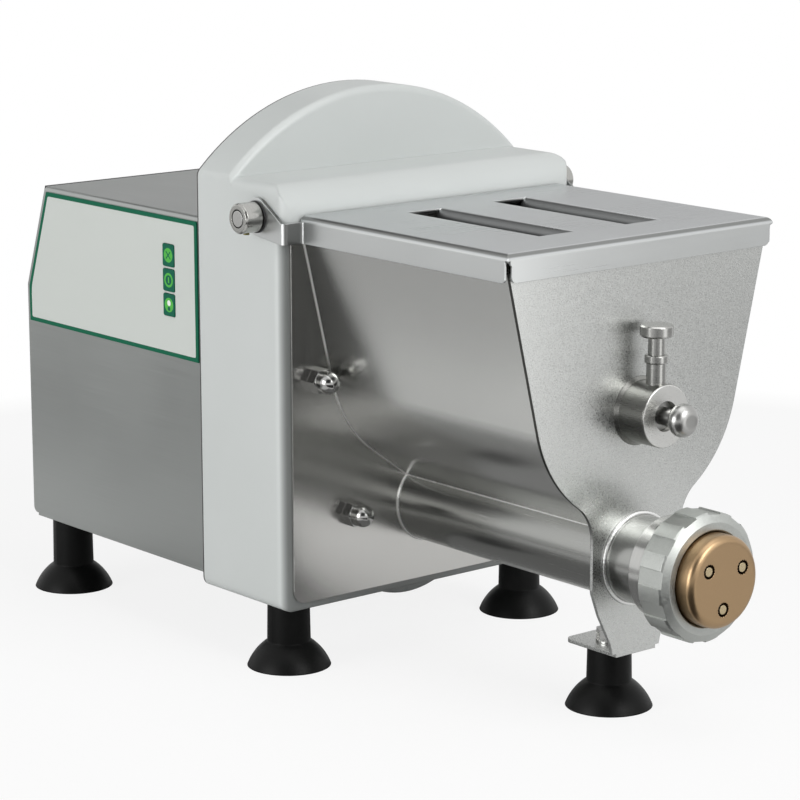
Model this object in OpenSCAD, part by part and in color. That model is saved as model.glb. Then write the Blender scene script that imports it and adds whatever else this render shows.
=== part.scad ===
// Electric pasta maker: a mixing hopper and an extruder barrel in front of a drive tower.
// Millimetres. X runs across, the front is -Y, the key panel is on -X, and the feet stand on z = 0.

/* [Tower] */
// Width of the tower housing
tower_w = 212; // [204:1:230]
// Depth of the tower housing
tower_d = 76; // [72:1:90]
// How far the tower's front face stands ahead of the middle
tower_front = 11.75; // [0:0.25:20]
// Height of the tower's underside
tower_z = 37; // [34:0.5:38]
// Height of the tower's shoulders
shoulder_z = 278.5; // [276:0.5:290]
// Rise of the arch above the shoulders
arch_rise = 44; // [30:1:60]
// How far the arch stands behind the tower's front face
arch_back = 44; // [42:1:50]
// Rounding of the arch's front rim
arch_rim = 4; // [3:0.5:6]
// Rounding where the tower's sides meet its top
shoulder_r = 6; // [5:0.5:8]
// Wall of the tower housing
tower_wall = 4; // [3:0.5:5]
// Radius of the tower's upright front edges
tower_r = 6; // [5:0.5:9]
// How far the ridge that holds the lid's hinge stands ahead of the hinge
ridge_reach = 22; // [21:0.5:23]
// Radius of the ridge's long upper edge
ridge_corner = 16; // [12:0.5:17]
// Radius of the ridge's upright ends
ridge_end_r = 6; // [6:1:12]
// How far the ridge reaches below the hinge
ridge_lip = 6.2; // [5:0.1:8]
// Gap round the auger gear inside the round bulge
bulge_gap = 9.5; // [6:0.5:12]
// Wall of the bulge
bulge_wall = 3.5; // [3:0.5:4]
// Start of the bulge behind the tower's front face
bulge_back = 18; // [16:0.5:19]
// Length of the bulge
bulge_len = 42; // [36:1:46]

/* [Casing] */
// How far the casing's sides stand inside the tower's
casing_step = 2; // [1.5:0.1:2.4]
// Length of the casing behind the tower
casing_len = 181.5; // [170:0.5:195]
// Height of the casing's lower edge
casing_z = 46; // [44:0.5:48]
// Height of the casing's top
casing_top = 252.5; // [248:0.5:260]
// Height where the back wall turns into the slope
knee_z = 190; // [180:1:200]
// How far the slope leans forward
slope_run = 22; // [16:1:30]
// Radius of the lower rear corner
casing_r = 4; // [3:0.5:14]
// Radius of the folds along the top
fold_r = 2.5; // [2:0.1:4]
// Sheet of the casing, the tray and the rear cover
casing_t = 1.5; // [1.2:0.1:2]
// Height of the tray's flanges
tray_flange = 12; // [8:1:16]
// How far the rear cover stands out from the slope
cover_proud = 4.78; // [4:0.01:6]
// How far the rear cover stands inside the casing's sides
cover_side = 3.5; // [0.5:0.5:8]
// Rows of air slots in the rear cover
vent_rows = 6; // [3:1:7]
// Power inlet from the middle
inlet_x = 58; // [40:1:70]
// Height of the power inlet
inlet_z = 88; // [76:1:120]

/* [Control panel] */
// Thickness of the panel
panel_t = 0.8; // [0.6:0.1:1.2]
// Gap between the panel and the casing's edges
panel_inset = 3; // [2:0.5:5]
// Height of the panel
panel_h = 84.5; // [80:0.5:92]
// Radius of the panel's corners
panel_r = 3; // [1:0.5:5]
// Middle of the keys behind the casing's front edge
key_back = 30.4; // [26:0.2:40]
// Middle of the uppermost key below the casing's top
key_drop = 25.5; // [22.5:0.5:30]
// Distance from key to key
key_pitch = 14.5; // [14.3:0.1:17]
// Width of a key
key_w = 11; // [9:0.2:13]
// Height of a key
key_h = 13; // [10:0.2:13]
// How far a key stands out of the panel
key_proud = 0.5; // [0.3:0.1:1]
// Travel of a key
key_travel = 1; // [0.6:0.1:1.2]

/* [Hopper] */
// Distance between the hopper's end plates
hopper_len = 170.2; // [160:0.2:185]
// Sheet of the trough and the back plate
hopper_t = 1.5; // [1.2:0.1:2]
// Sheet of the front plate and its foot tab
front_t = 2; // [1.5:0.1:3]
// Radius of the trough's arc
trough_r = 72.8; // [71:0.1:74]
// How far the middle of that arc lies above the mixer's shaft
trough_up = 13.4; // [12:0.1:14.5]
// Lean of the trough's sides
trough_lean = 13.5; // [12:0.5:15]
// Slope of the trough's bottom down to the barrel
trough_vee = 36; // [34:1:38]
// Rim of the trough below the lid
rim_drop = 9; // [7:0.5:10]
// How far the front plate stands out round the trough
front_rim = 1.2; // [0.6:0.1:1.6]
// Half width of the front plate's neck
neck_half = 32.6; // [30:0.2:34]
// Half width of the foot tab
tab_half = 14.6; // [13:0.2:18]
// Length of the foot tab
tab_len = 41; // [36:1:46]
// Height of the foot tab's underside
tab_z = 34; // [32:0.5:36]
// Fillet from the trough's end to the neck
neck_fillet = 24; // [10:1:28]
// Gap between the sides of the back plate and the tower
plate_inset = 6.6; // [5:0.2:8]
// Upper acorn nuts inside the tower's sides
acorn_high = 24; // [22:0.5:26]
// Lower acorn nuts inside the tower's sides
acorn_low = 48; // [44:1:54]
// Across the flats of the acorn nuts
nut_flats = 13; // [12:0.5:14]
// Thread of the studs
stud_d = 8; // [7:0.5:8]

/* [Lid] */
// Sheet of the lid
lid_t = 1.2; // [1:0.1:1.5]
// Gap between the trough's rim and the lid's sides
lid_side_gap = 3.3; // [2.5:0.1:4]
// Depth of the lid's turned-down edge
lid_skirt = 15.2; // [12:0.2:16]
// Outer radius of the lid's bends
lid_bend = 3.5; // [2.5:0.1:4]
// How far the lid's front edge stands out past the front plate
lid_front_gap = 2.7; // [2.6:0.1:4]
// How far the lid's top lies above the hinge axis
lid_rise = 2; // [1.5:0.1:3]
// Gap between the lid's rear edge and the ridge
lid_ridge_gap = 1.8; // [1.5:0.1:3]
// Width of a slot
slot_w = 27.5; // [20:0.5:30]
// Inner edge of a slot from the middle
slot_x = 17.5; // [14:0.5:20]
// Front and rear bars of the lid beside the slots
slot_bar = 28; // [24:0.5:34]
// Depth of a slot's turned-down flanges
slot_flange = 13; // [8:0.5:14]
// Outer radius of the bends along the slots
slot_bend = 5; // [3:0.5:6]
// Gap where the lid's turned-down edges meet at the front corners
corner_gap = 2; // [1:0.25:3]
// Rounding of the turned-down edges' lower corners
corner_r = 3; // [1:0.5:4]

/* [Hinge] */
// Hinge axis behind the tower's front face
hinge_back = 17.3; // [16:0.1:20]
// Hinge axis below the shoulders
hinge_drop = 18.3; // [18:0.1:20]
// Diameter of the hinge shaft
hinge_d = 9; // [7:0.5:10]
// Gap between the tower and the lid's arms
arm_gap = 1.5; // [1.5:0.1:2.5]
// Outer radius of the bends that lead to the arms
arm_bend = 3; // [2:0.5:4]
// Radius of an arm's round end
arm_r = 10.5; // [10:0.5:12]
// Diameter of a hinge knob
knob_d = 17; // [15:0.5:20]
// Length of a hinge knob
knob_len = 12; // [10:0.5:16]
// Diameter of the washer under a knob
washer_d = 18; // [17:0.5:21]
// Thickness of the washer
washer_t = 0.8; // [0.5:0.1:1.2]

/* [Barrel and die] */
// Height of the auger's axis
auger_z = 87; // [84:0.5:90]
// Outer diameter of the barrel
barrel_d = 48; // [46:0.5:52]
// Wall of the barrel
barrel_t = 2; // [1.5:0.1:2.5]
// How far the barrel stands out past the front plate
barrel_out = 44.3; // [40:0.1:52]
// Outer diameter of the threaded collar
collar_d = 56; // [54:0.5:58]
// Length of the threaded collar
collar_len = 22; // [18:0.5:24]
// Outer diameter of the ring nut
nut_d = 70.3; // [68:0.1:76]
// How far the nut screws over the collar
nut_grip = 8.1; // [6:0.1:9]
// Thickness of the nut's front lip
nut_lip = 7.5; // [5:0.1:9]
// Number of grip grooves round the nut
nut_grooves = 12; // [8:1:16]
// Depth of the grip grooves
groove_depth = 1.2; // [0.8:0.1:1.8]
// Diameter of the die
die_d = 50; // [48:0.2:50.4]
// Length of the die in front of its flange
die_len = 18.3; // [14:0.1:24]
// Thickness of the die's flange
die_flange = 3.2; // [2.5:0.1:5]
// Diameter of a die hole
die_hole_d = 8.4; // [7:0.1:10]
// Distance of the die holes from the axis
die_hole_r = 14.3; // [12:0.1:15]
// Teeth round a die hole
die_teeth = 16; // [12:1:20]
// Diameter of the pin in a die hole
insert_d = 5; // [3:0.1:5.4]

/* [Auger and mixer] */
// Gap between the auger's flight and the barrel
flight_gap = 0.5; // [0.3:0.05:1]
// Diameter of the auger's core
auger_core = 19; // [17:0.5:24]
// Lead of the auger's flight
auger_lead = 30; // [24:1:40]
// Diameter of the mixer's shaft
mixer_d = 20; // [19:0.5:24]
// Gap between the mixer's paddles and the auger
paddle_gap = 4.5; // [3:0.5:8]
// Width of a paddle
paddle_w = 28; // [20:1:32]
// Thickness of a paddle
paddle_t = 4; // [3:0.5:6]
// Pairs of paddles along the shaft
paddle_pairs = 4; // [2:1:4]

/* [Locking pin] */
// Outer diameter of the boss on the front plate
boss_d = 34; // [30:0.5:38]
// Length of the boss
boss_len = 20.3; // [18:0.1:24]
// Diameter of the boss's bore
boss_bore = 16.5; // [16:0.1:18]
// Diameter of the pin's bare stem
pin_stem = 9.5; // [8:0.1:11]
// Diameter of the pin's rounded knob
pin_knob = 18; // [16:0.5:22]
// Thickness of the pin's rounded knob
pin_knob_t = 11.7; // [10:0.1:14]
// Outer diameter of the plunger's sleeve
sleeve_d = 10.4; // [10:0.1:12]
// Height of the sleeve above the boss
sleeve_up = 15.1; // [14.5:0.1:18]
// Travel of the plunger
plunger_travel = 3.5; // [3:0.1:3.5]
// Diameter of the plunger's head
plunger_head = 17.8; // [15:0.1:20]
// Height of the plunger's bare neck
plunger_neck = 9.7; // [8:0.1:12]

/* [Gear train and motor] */
// Module of the gears
gear_module = 2; // [1.96:0.01:2.04]
// Teeth of the auger gear
auger_teeth = 45; // [44:1:46]
// Teeth of the mixer gear
mixer_teeth = 36; // [35:1:37]
// Teeth of the pinion
pinion_teeth = 15; // [15:1:16]
// Direction from the auger's axis to the pinion, from level
pinion_angle = 36.87; // [30:0.5:42]
// Width of the gears
gear_w = 20; // [16:0.5:22]
// Thickness taken off each tooth for a free mesh
backlash = 0.15; // [0.1:0.01:0.25]
// Width of the bearings
bearing_w = 10; // [8:0.5:12]
// Diameter of the auger's drive shaft
auger_drive_d = 20; // [17:0.5:20]
// Diameter of the mixer's drive shaft
mixer_drive_d = 16; // [14:0.5:17]
// Half width of the gear plate
gear_plate_half = 80; // [74:1:90]
// Diameter of the motor
motor_d = 80; // [70:1:84]
// Length of the motor
motor_len = 108; // [90:1:112]
// Length of the gearhead
gearhead_len = 34; // [28:1:40]
// Diameter of the capacitor
capacitor_d = 35; // [30:1:38]
// Length of the capacitor
capacitor_len = 76; // [60:1:90]
// Capacitor from the middle
capacitor_x = -62; // [-66:1:-58]

/* [Feet] */
// Diameter of a foot's rim
foot_d = 48; // [40:1:52]
// Diameter of a foot's stem
foot_stem = 25; // [20:0.5:28]
// Height of a foot's bell
bell_h = 14.4; // [12:0.2:18]
// Radius of the bell's curve
bell_r = 31; // [24:1:60]
// Middle of the feet inside the tower's sides
foot_inset = 18; // [17:0.5:30]
// Front feet behind the tower's front face
foot_front = 18.7; // [16:0.1:30]
// Rear feet ahead of the casing's back
foot_rear = 18.5; // [18:0.5:30]

/* [Fits] */
// Radial clearance of a running or locating fit
run_fit = 0.05; // [0.03:0.01:0.08]
// Gap between pieces that lie beside each other
seat_gap = 0.3; // [0.25:0.05:0.4]

/* [Hidden] */
$fn = 64;
over = 1;      // how far a cut runs past a face
hair = 0.02;   // gap between solids of one turning body

// heights
hinge_z = shoulder_z - hinge_drop;
lid_top = hinge_z + lid_rise;
ridge_low = hinge_z - ridge_lip;
mixer_z = auger_z + gear_module * (auger_teeth + mixer_teeth) / 2;
trough_z = mixer_z + trough_up;
rim_z = lid_top - lid_t - rim_drop;
key_top_z = casing_top - key_drop;
panel_z = casing_top - panel_h;

// places along Y, from the die to the back
front_y = -tower_front;
wall_y = front_y + tower_wall;
hinge_y = front_y + hinge_back;
arch_y = front_y + arch_back;
tower_back = front_y + tower_d;
casing_back = tower_back + casing_len;
plate_y = front_y - hopper_t;
hopper_y = plate_y - hopper_len;
face_y = hopper_y - front_t;
barrel_y = face_y - barrel_out;
die_y = barrel_y - die_flange;
nut_back_y = barrel_y + nut_grip;
nut_y = die_y - seat_gap - nut_lip;
boss_y = face_y - boss_len;
lid_front = face_y - lid_front_gap;
lid_back = hinge_y - ridge_reach - lid_ridge_gap;

// the gear train
pressure_angle = 20;
housing_y = wall_y + bearing_w;
gear_y = front_y + bulge_back + bulge_wall + 1;
gear_plate_y = gear_y + gear_w + 6;
gear_plate_back = gear_plate_y + bearing_w;
auger_gear_r = gear_module * (auger_teeth + 2) / 2;
pinion_reach = gear_module * (auger_teeth + pinion_teeth) / 2;
pinion_x = pinion_reach * cos(pinion_angle);
pinion_z = auger_z + pinion_reach * sin(pinion_angle);
auger_bearing_d = auger_drive_d + 22;
mixer_bearing_d = mixer_drive_d + 20;
motor_y = gear_plate_back + gearhead_len;
output_d = 12;

// the tower and its bulge
tower_half = tower_w / 2;
arch_r = (pow(tower_half, 2) + pow(arch_rise, 2)) / (2 * arch_rise);
arch_z = shoulder_z + arch_rise - arch_r;
arch_corner = [tower_half - shoulder_r, arch_z + sqrt(pow(arch_r - shoulder_r, 2) - pow(tower_half - shoulder_r, 2))];
bulge_r = auger_gear_r + bulge_gap + bulge_wall;

// the casing's slope
casing_half = tower_half - casing_step;
slope = atan2(slope_run, casing_top - knee_z);
slope_len = norm([slope_run, casing_top - knee_z]);
slope_top_y = casing_back - slope_run;
cover_w = 2 * (casing_half - cover_side);
// screws of the rear cover: place across and up the slope
cover_screws = [for (x = [-1, 1]) for (a = [8, slope_len - 12]) [x * (cover_w / 2 - 8), a]];

// the hopper
auger_r = barrel_d / 2 - barrel_t - flight_gap;
mixer_r = mixer_z - auger_z - auger_r - paddle_gap;
rim_half = side_x(trough_r, rim_z);
lid_half = rim_half + lid_side_gap + lid_t;
lid_low = lid_top - lid_skirt;
back_half = tower_half - plate_inset;
back_low = tower_z + 4;
neck_r = 8;
acorns = [[tower_half - acorn_high, mixer_z], [tower_half - acorn_low, auger_z + 1]];
acorn_h = 6.5;

// the lid's arms and the hinge's outer end
arm_x = tower_half + arm_gap;
arm_out = arm_x + lid_t;
knob_x = arm_out + washer_t;
hinge_end = knob_x + knob_len;
set_screw_d = 3.5;
slot_front = lid_front + slot_bar + 5.5;
slot_back = lid_back - slot_bar;
// the cam on the hinge shaft
cam_r = 12.5;
cam_t = 6;
cam_x = 78;

// the shafts' square ends in the hopper
tang = 10;
tang_len = 13;
hub_y = plate_y - 4;

// the wider part of a die hole, which holds the insert
insert_seat = die_hole_d + 4;
insert_depth = 12;

// the locking pin
pin_r = boss_bore / 2 - run_fit;
pin_nose = 12;
mixer_front = hopper_y + 1.5;
pin_knob_y = boss_y - 12.5;
plunger_y = face_y - 12.3;
sleeve_low = mixer_z + boss_bore / 2 + 1.25;
sleeve_top = mixer_z + boss_d / 2 + sleeve_up;
band_h = 4.4;
rod_d = 4.5;
tip_d = 6;
chamber_d = 8.4;
neck_d = 8.9;
bushing_top = sleeve_top - plunger_travel - 0.6;
bushing_low = bushing_top - 2.5;
collar_low = sleeve_low + plunger_travel + 1;
tip_low = mixer_z + pin_r + 0.4;
groove_r = tip_low - plunger_travel - mixer_z - 0.3;

// the keys and their board
panel_x = -casing_half - panel_t;
key_y = tower_back + key_back;
key_stem = 4;
flange_t = 1;
flange_x = -casing_half + seat_gap;
stem_end = flange_x + flange_t + 5;
switch_x = stem_end + key_travel + 0.2;
board_x = switch_x + 4;
board_t = 1.6;
board_len = 54;
board_h = 2 * key_pitch + 38;
board_low = casing_top - 9.5 - board_h;

// the capacitor under its strap
capacitor_r = capacitor_d / 2;
capacitor_z = casing_z + capacitor_r;
strap_y = tower_back + 50;
strap_w = 14;

// the feet
foot_x = tower_half - foot_inset;
hopper_foot_y = face_y + tab_len / 2;
rear_foot_y = casing_back - foot_rear;
tray_z = casing_z - casing_t;
foot_stud = 8;

// ---- helpers ---------------------------------------------------------------

// a (y, z) outline drawn out along X from x0 to x1
module along_x(x0, x1) translate([x0, 0, 0]) rotate([90, 0, 90]) linear_extrude(x1 - x0) children();

// an (x, z) outline drawn out along Y from y0 back to y1
module along_y(y0, y1) translate([0, y1, 0]) rotate([90, 0, 0]) linear_extrude(y1 - y0) children();

module rod_x(r, x0, x1, y, z) translate([x0, y, z]) rotate([0, 90, 0]) cylinder(r = r, h = x1 - x0);

module rod_y(r, y0, y1, x, z) translate([x, y1, z]) rotate([90, 0, 0]) cylinder(r = r, h = y1 - y0);

module rod_z(r, z0, z1, x, y) translate([x, y, z0]) cylinder(r = r, h = z1 - z0);

// a profile of (radius, distance forward) turned about the Y direction
module turned(x, y, z) translate([x, y, z]) rotate([90, 0, 0]) rotate_extrude() children();

module both_sides() {
  children();
  mirror([1, 0, 0]) children();
}

module box_from(a, b) translate(a) cube(b - a);

// a centred rectangle with round corners
module pill(w, h, r) {
  square([w - 2 * r, h], center = true);
  square([w, h - 2 * r], center = true);
  for (i = [-1, 1]) for (j = [-1, 1]) translate([i * (w / 2 - r), j * (h / 2 - r)]) circle(r);
}

// where a side that leans from the arc of radius r stands at height z
function side_x(r, z) = r * cos(trough_lean) + (z - trough_z + r * sin(trough_lean)) * tan(trough_lean);

// a point on the casing's slope, a up from the knee and n out
function slope_pt(a, n) = [casing_back - a * sin(slope) + n * cos(slope), knee_z + a * cos(slope) + n * sin(slope)];

// ---- tower -----------------------------------------------------------------

module tower_elevation(i) {
  translate([-tower_half + tower_r, tower_z + i]) square([tower_w - 2 * tower_r, tower_r]);
  translate([-tower_half + i, tower_z + tower_r])
    square([tower_w - 2 * i, shoulder_z - shoulder_r - tower_z - tower_r]);
  translate([-tower_half + shoulder_r, shoulder_z - shoulder_r - over])
    square([tower_w - 2 * shoulder_r, shoulder_r + over - i]);
  for (s = [-1, 1]) {
    translate([s * (tower_half - tower_r), tower_z + tower_r]) circle(tower_r - i);
    translate([s * (tower_half - shoulder_r), shoulder_z - shoulder_r]) circle(shoulder_r - i);
  }
}

module tower_plan(i, y0, r) {
  translate([-tower_half + i, y0 + r]) square([tower_w - 2 * i, tower_back - y0 - r]);
  translate([-tower_half + r, y0 + i]) square([tower_w - 2 * r, tower_back - y0 - i]);
  for (s = [-1, 1]) translate([s * (tower_half - r), y0 + r]) circle(r - i);
}

// the arch's outline without its upper arc: upright sides, soft corners
module arch_sides(i) {
  out = 2 * (arch_corner - [0, arch_z]) + [0, arch_z];
  translate([-tower_half + i, shoulder_z - shoulder_r - over])
    square([tower_w - 2 * i, arch_corner[1] - shoulder_z + shoulder_r + over]);
  for (s = [-1, 1]) translate([s * arch_corner[0], arch_corner[1]]) circle(shoulder_r - i);
  polygon([[0, arch_z], out, [-out[0], out[1]]]);
}

module arch_form(i, back) intersection() {
  long = back - arch_y - i;
  rim = max(arch_rim - i, 0);
  turned(0, back, arch_z) {
    square([arch_r - i, long - rim]);
    square([arch_r - i - rim, long]);
    if (rim > 0) translate([arch_r - i - rim, long - rim]) circle(rim);
  }
  along_y(arch_y, back) arch_sides(i);
  box_from([-tower_w, arch_y, shoulder_z - shoulder_r - over], [tower_w, back, shoulder_z + arch_rise]);
}

// the ridge's end view, drawn as (y, z)
module ridge_profile(i) {
  y0 = hinge_y - ridge_reach;
  long = 2 * ridge_reach;
  translate([y0 + i, ridge_low + i]) square([long, shoulder_z - ridge_corner - ridge_low - i]);
  translate([y0 + ridge_corner, ridge_low + i]) square([long - ridge_corner, shoulder_z - ridge_low - 2 * i]);
  translate([y0 + ridge_corner, shoulder_z - ridge_corner]) intersection() {
    circle(ridge_corner - i);
    translate([-ridge_corner, 0]) square(2 * ridge_corner);
  }
}

module ridge_form(i) intersection() {
  along_x(-tower_half + i, tower_half - i) ridge_profile(i);
  linear_extrude(shoulder_z + over) tower_plan(i, hinge_y - ridge_reach, ridge_end_r);
  along_y(hinge_y - ridge_reach - over, tower_back) tower_elevation(i);
}

module tower_form(i, back) {
  deep = min(i, bulge_wall);
  difference() {
    intersection() {
      along_y(front_y + i, back) tower_elevation(i);
      linear_extrude(shoulder_z + arch_rise) tower_plan(i, front_y, tower_r);
    }
    // the ridge alone stands here, clear of the lid's rear edge
    box_from([-tower_w, front_y - over, hinge_z], [tower_w, hinge_y, shoulder_z + over]);
  }
  arch_form(i, back);
  ridge_form(i);
  rod_y(bulge_r - deep, front_y + bulge_back + deep, front_y + bulge_back + bulge_len - deep, 0, auger_z);
}

module tower_housing() color([0.74, 0.74, 0.73]) difference() {
  tower_form(0, tower_back);
  tower_form(tower_wall, tower_back - tower_wall);
  // the way through to the rear casing
  box_from([-casing_half + 6, tower_back - tower_wall - over, casing_z + 6],
    [casing_half - 6, tower_back + over, casing_top - 6]);
  rod_x(hinge_d / 2 + 2, -tower_half - over, tower_half + over, hinge_y, hinge_z);
  rod_y(auger_drive_d / 2 + 5, front_y - over, wall_y + over, 0, auger_z);
  rod_y(mixer_drive_d / 2 + 5, front_y - over, wall_y + over, 0, mixer_z);
  both_sides() {
    for (p = acorns) rod_y(stud_d / 2 + run_fit, front_y - over, wall_y + over, p[0], p[1]);
    translate([foot_x, front_y + foot_front, tower_z - over])
      cylinder(d = foot_stud + 2 * run_fit, h = tower_wall + 2 * over);
  }
}

// ---- casing ----------------------------------------------------------------

// the casing's side outline, drawn in by i
module casing_side(i, low = 0) {
  c = [casing_back - casing_r, casing_z + casing_r];
  polygon([[tower_back, casing_z + i - low], [c[0], casing_z + i - low], [c[0], casing_z + i],
    [casing_back - i, c[1]], [casing_back - i, knee_z - i * tan(slope / 2)],
    [slope_top_y - i * (1 - sin(slope)) / cos(slope), casing_top - i], [tower_back, casing_top - i]]);
  translate(c) circle(casing_r - i);
}

module casing_section(i) {
  translate([-casing_half + i, casing_z - over]) square([2 * (casing_half - i), casing_top - casing_z - fold_r + over]);
  translate([-casing_half + fold_r, casing_z - over])
    square([2 * (casing_half - fold_r), casing_top - casing_z - i + over]);
  for (s = [-1, 1]) translate([s * (casing_half - fold_r), casing_top - fold_r]) circle(fold_r - i);
}

module casing_form(i, low = 0) intersection() {
  along_x(-casing_half + i, casing_half - i) casing_side(i, low);
  along_y(tower_back - i, casing_back) casing_section(i);
}

module key_window(grow) {
  translate([key_y - key_w / 2 - grow, key_top_z - 2 * key_pitch - key_h / 2 - grow])
    square([key_w + 2 * grow, 2 * key_pitch + key_h + 2 * grow]);
}

module rear_casing() color([0.78, 0.78, 0.76]) difference() {
  casing_form(0);
  translate([0, -over, 0]) casing_form(casing_t, casing_t + over);
  casing_form(casing_t);
  // behind the keys
  along_x(-casing_half - over, -casing_half + casing_t + over) key_window(1.6);
  // under the rear cover
  along_x(-cover_w / 2 + 14, cover_w / 2 - 14)
    polygon([slope_pt(12, over), slope_pt(slope_len - 16, over), slope_pt(slope_len - 16, -6), slope_pt(12, -6)]);
  inlet_window(casing_back - casing_r, casing_back + over);
  for (p = cover_screws) slope_hole(p, 4 + 2 * run_fit);
}

module on_slope(p) translate([p[0], slope_pt(p[1], 0)[0], slope_pt(p[1], 0)[1]]) rotate([slope - 90, 0, 0]) children();

module slope_hole(p, d) on_slope(p) translate([0, 0, -6]) cylinder(d = d, h = 18);

module rear_cover() color([0.16, 0.16, 0.16]) {
  top = slope_len - 2;
  difference() {
    along_x(-cover_w / 2, cover_w / 2)
      polygon([slope_pt(0.8, 0.05), slope_pt(0.8, cover_proud), slope_pt(top, cover_proud), slope_pt(top, 0.05)]);
    along_x(-cover_w / 2 + casing_t, cover_w / 2 - casing_t)
      polygon([slope_pt(0.8 + casing_t, -over), slope_pt(0.8 + casing_t, cover_proud - casing_t),
        slope_pt(top - casing_t, cover_proud - casing_t), slope_pt(top - casing_t, -over)]);
    for (k = [0:vent_rows - 1]) for (s = [-1, 1]) on_slope([s * 42, 15 + k * 6, 0])
      translate([0, 0, cover_proud - casing_t - over]) linear_extrude(casing_t + 2 * over) pill(70, 3, 1.4);
    for (p = cover_screws) slope_hole(p, 4 + 2 * run_fit);
  }
  // spacers round the screws
  for (p = cover_screws) on_slope(p) translate([0, 0, 0.05]) difference() {
    cylinder(d = 7, h = cover_proud - casing_t);
    translate([0, 0, -over]) cylinder(d = 4 + 2 * run_fit, h = cover_proud + over);
  }
}

module base_tray() color([0.7, 0.7, 0.68]) difference() {
  inner = casing_half - casing_t - run_fit;
  union() {
    box_from([-casing_half, tower_back + 0.2, tray_z], [casing_half, casing_back - 5, casing_z]);
    both_sides() box_from([inner - casing_t, tower_back + 0.2, casing_z - over],
      [inner, casing_back - casing_r - over, casing_z + tray_flange]);
    box_from([-inner, tower_back + 0.2, casing_z - over],
      [inner, tower_back + 0.2 + casing_t, casing_z + tray_flange - 6]);
  }
  both_sides() translate([foot_x, rear_foot_y, tray_z - over])
    cylinder(d = foot_stud + 2 * run_fit, h = casing_t + 2 * over);
  // air slots under the motor
  for (k = [0:5]) translate([0, tower_back + 40 + k * 14, tray_z - over])
    linear_extrude(casing_t + 2 * over) pill(90, 5, 2.4);
}

// ---- control panel and keys --------------------------------------------------

module panel_outline() {
  y0 = tower_back + panel_inset;
  intersection() {
    casing_side(panel_inset);
    union() {
      translate([y0, panel_z]) square([casing_len, casing_top - panel_z - panel_inset + 1 - panel_r]);
      translate([y0 + panel_r, panel_z]) square([casing_len, casing_top - panel_z - panel_inset + 1]);
      translate([y0 + panel_r, casing_top - panel_inset + 1 - panel_r]) circle(panel_r);
    }
  }
}

module control_panel() color([0.8, 0.82, 0.8]) along_x(panel_x, -casing_half) difference() {
  panel_outline();
  for (k = [0:2]) translate([key_y, key_top_z - k * key_pitch]) pill(key_w + 0.5, key_h + 0.5, 1.4);
}

module key(k) color([0.02, 0.3, 0.2]) translate([0, key_y, key_top_z - k * key_pitch]) {
  along_x(panel_x - key_proud, flange_x + 0.2) pill(key_w, key_h, 1.2);
  along_x(flange_x, flange_x + flange_t) pill(key_w + 1.4, key_h + 0.8, 1.2);
  rod_x(key_stem / 2, flange_x + 0.5, stem_end, 0, 0);
}
module key_upper() key(0);
module key_middle() key(1);
module key_lower() key(2);

module key_switches() color([0.1, 0.1, 0.1]) for (k = [0:2]) translate([0, key_y, key_top_z - k * key_pitch]) {
  along_x(switch_x + 1.4, board_x) pill(7, 7, 0.8);
  rod_x(1.8, switch_x, switch_x + 2, 0, 0);
}

module control_board() color([0.1, 0.35, 0.2]) {
  y0 = key_y - 20;
  y1 = y0 + board_len;
  z0 = board_low;
  z1 = board_low + board_h;
  box_from([board_x, y0, z0], [board_x + board_t, y1, z1]);
  // standoffs to the casing's side
  for (y = [y0 + 4, y1 - 4]) for (z = [z0 + 4, z1 - 4])
    rod_x(3, -casing_half + casing_t, board_x + 0.5, y, z);
  // relay, transformer and terminal block
  box_from([board_x + 1, key_y + 2, z0 + 6], [board_x + 18, key_y + 28, z0 + 28]);
  box_from([board_x + 1, key_y - 14, z0 + 8], [board_x + 14, key_y - 4, z0 + 26]);
  for (k = [0:3]) box_from([board_x + 1, key_y + 4 + k * 7, z1 - 18], [board_x + 11, key_y + 10 + k * 7, z1 - 8]);
}

// ---- hopper ------------------------------------------------------------------

// the trough's outline with its arc at radius r, up to height top
module trough_outline(r, top) {
  z0 = trough_z - r * sin(trough_lean);
  x0 = r * cos(trough_lean);
  low = [r * sin(trough_vee), trough_z - r * cos(trough_vee)];
  intersection() {
    translate([0, trough_z]) circle(r, $fn = 128);
    translate([-r - over, trough_z - r - over]) square([2 * (r + over), top - trough_z + r + over]);
  }
  polygon([[-x0, z0], [x0, z0], [side_x(r, top), top], [-side_x(r, top), top]]);
  polygon([[0, trough_z - r / cos(trough_vee)], low, [-low[0], low[1]]]);
}

// one of the trough's two sheets, welded to the barrel along its lower edge
module hopper_side_left() color([0.76, 0.76, 0.74]) difference() {
  along_y(hopper_y, plate_y) difference() {
    trough_outline(trough_r, rim_z);
    trough_outline(trough_r - hopper_t, rim_z + over);
    translate([0, auger_z]) square([2 * tower_w, 2 * tower_w]);
  }
  rod_y(barrel_d / 2, hopper_y - over, plate_y + over, 0, auger_z);
}

module hopper_side_right() mirror([1, 0, 0]) hopper_side_left();

module hopper_back_plate() color([0.8, 0.79, 0.77]) difference() {
  along_y(plate_y, front_y) {
    translate([-back_half, back_low + neck_r]) square([2 * back_half, ridge_low - 0.5 - back_low - neck_r]);
    translate([-back_half + neck_r, back_low]) square([2 * (back_half - neck_r), ridge_low - 0.5 - back_low]);
    for (s = [-1, 1]) translate([s * (back_half - neck_r), back_low + neck_r]) circle(neck_r);
  }
  rod_y(auger_drive_d / 2 + 5, plate_y - over, front_y + over, 0, auger_z);
  rod_y(mixer_drive_d / 2 + 5, plate_y - over, front_y + over, 0, mixer_z);
  both_sides() for (p = acorns) rod_y(stud_d / 2 + run_fit, plate_y - over, front_y + over, p[0], p[1]);
}

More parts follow.
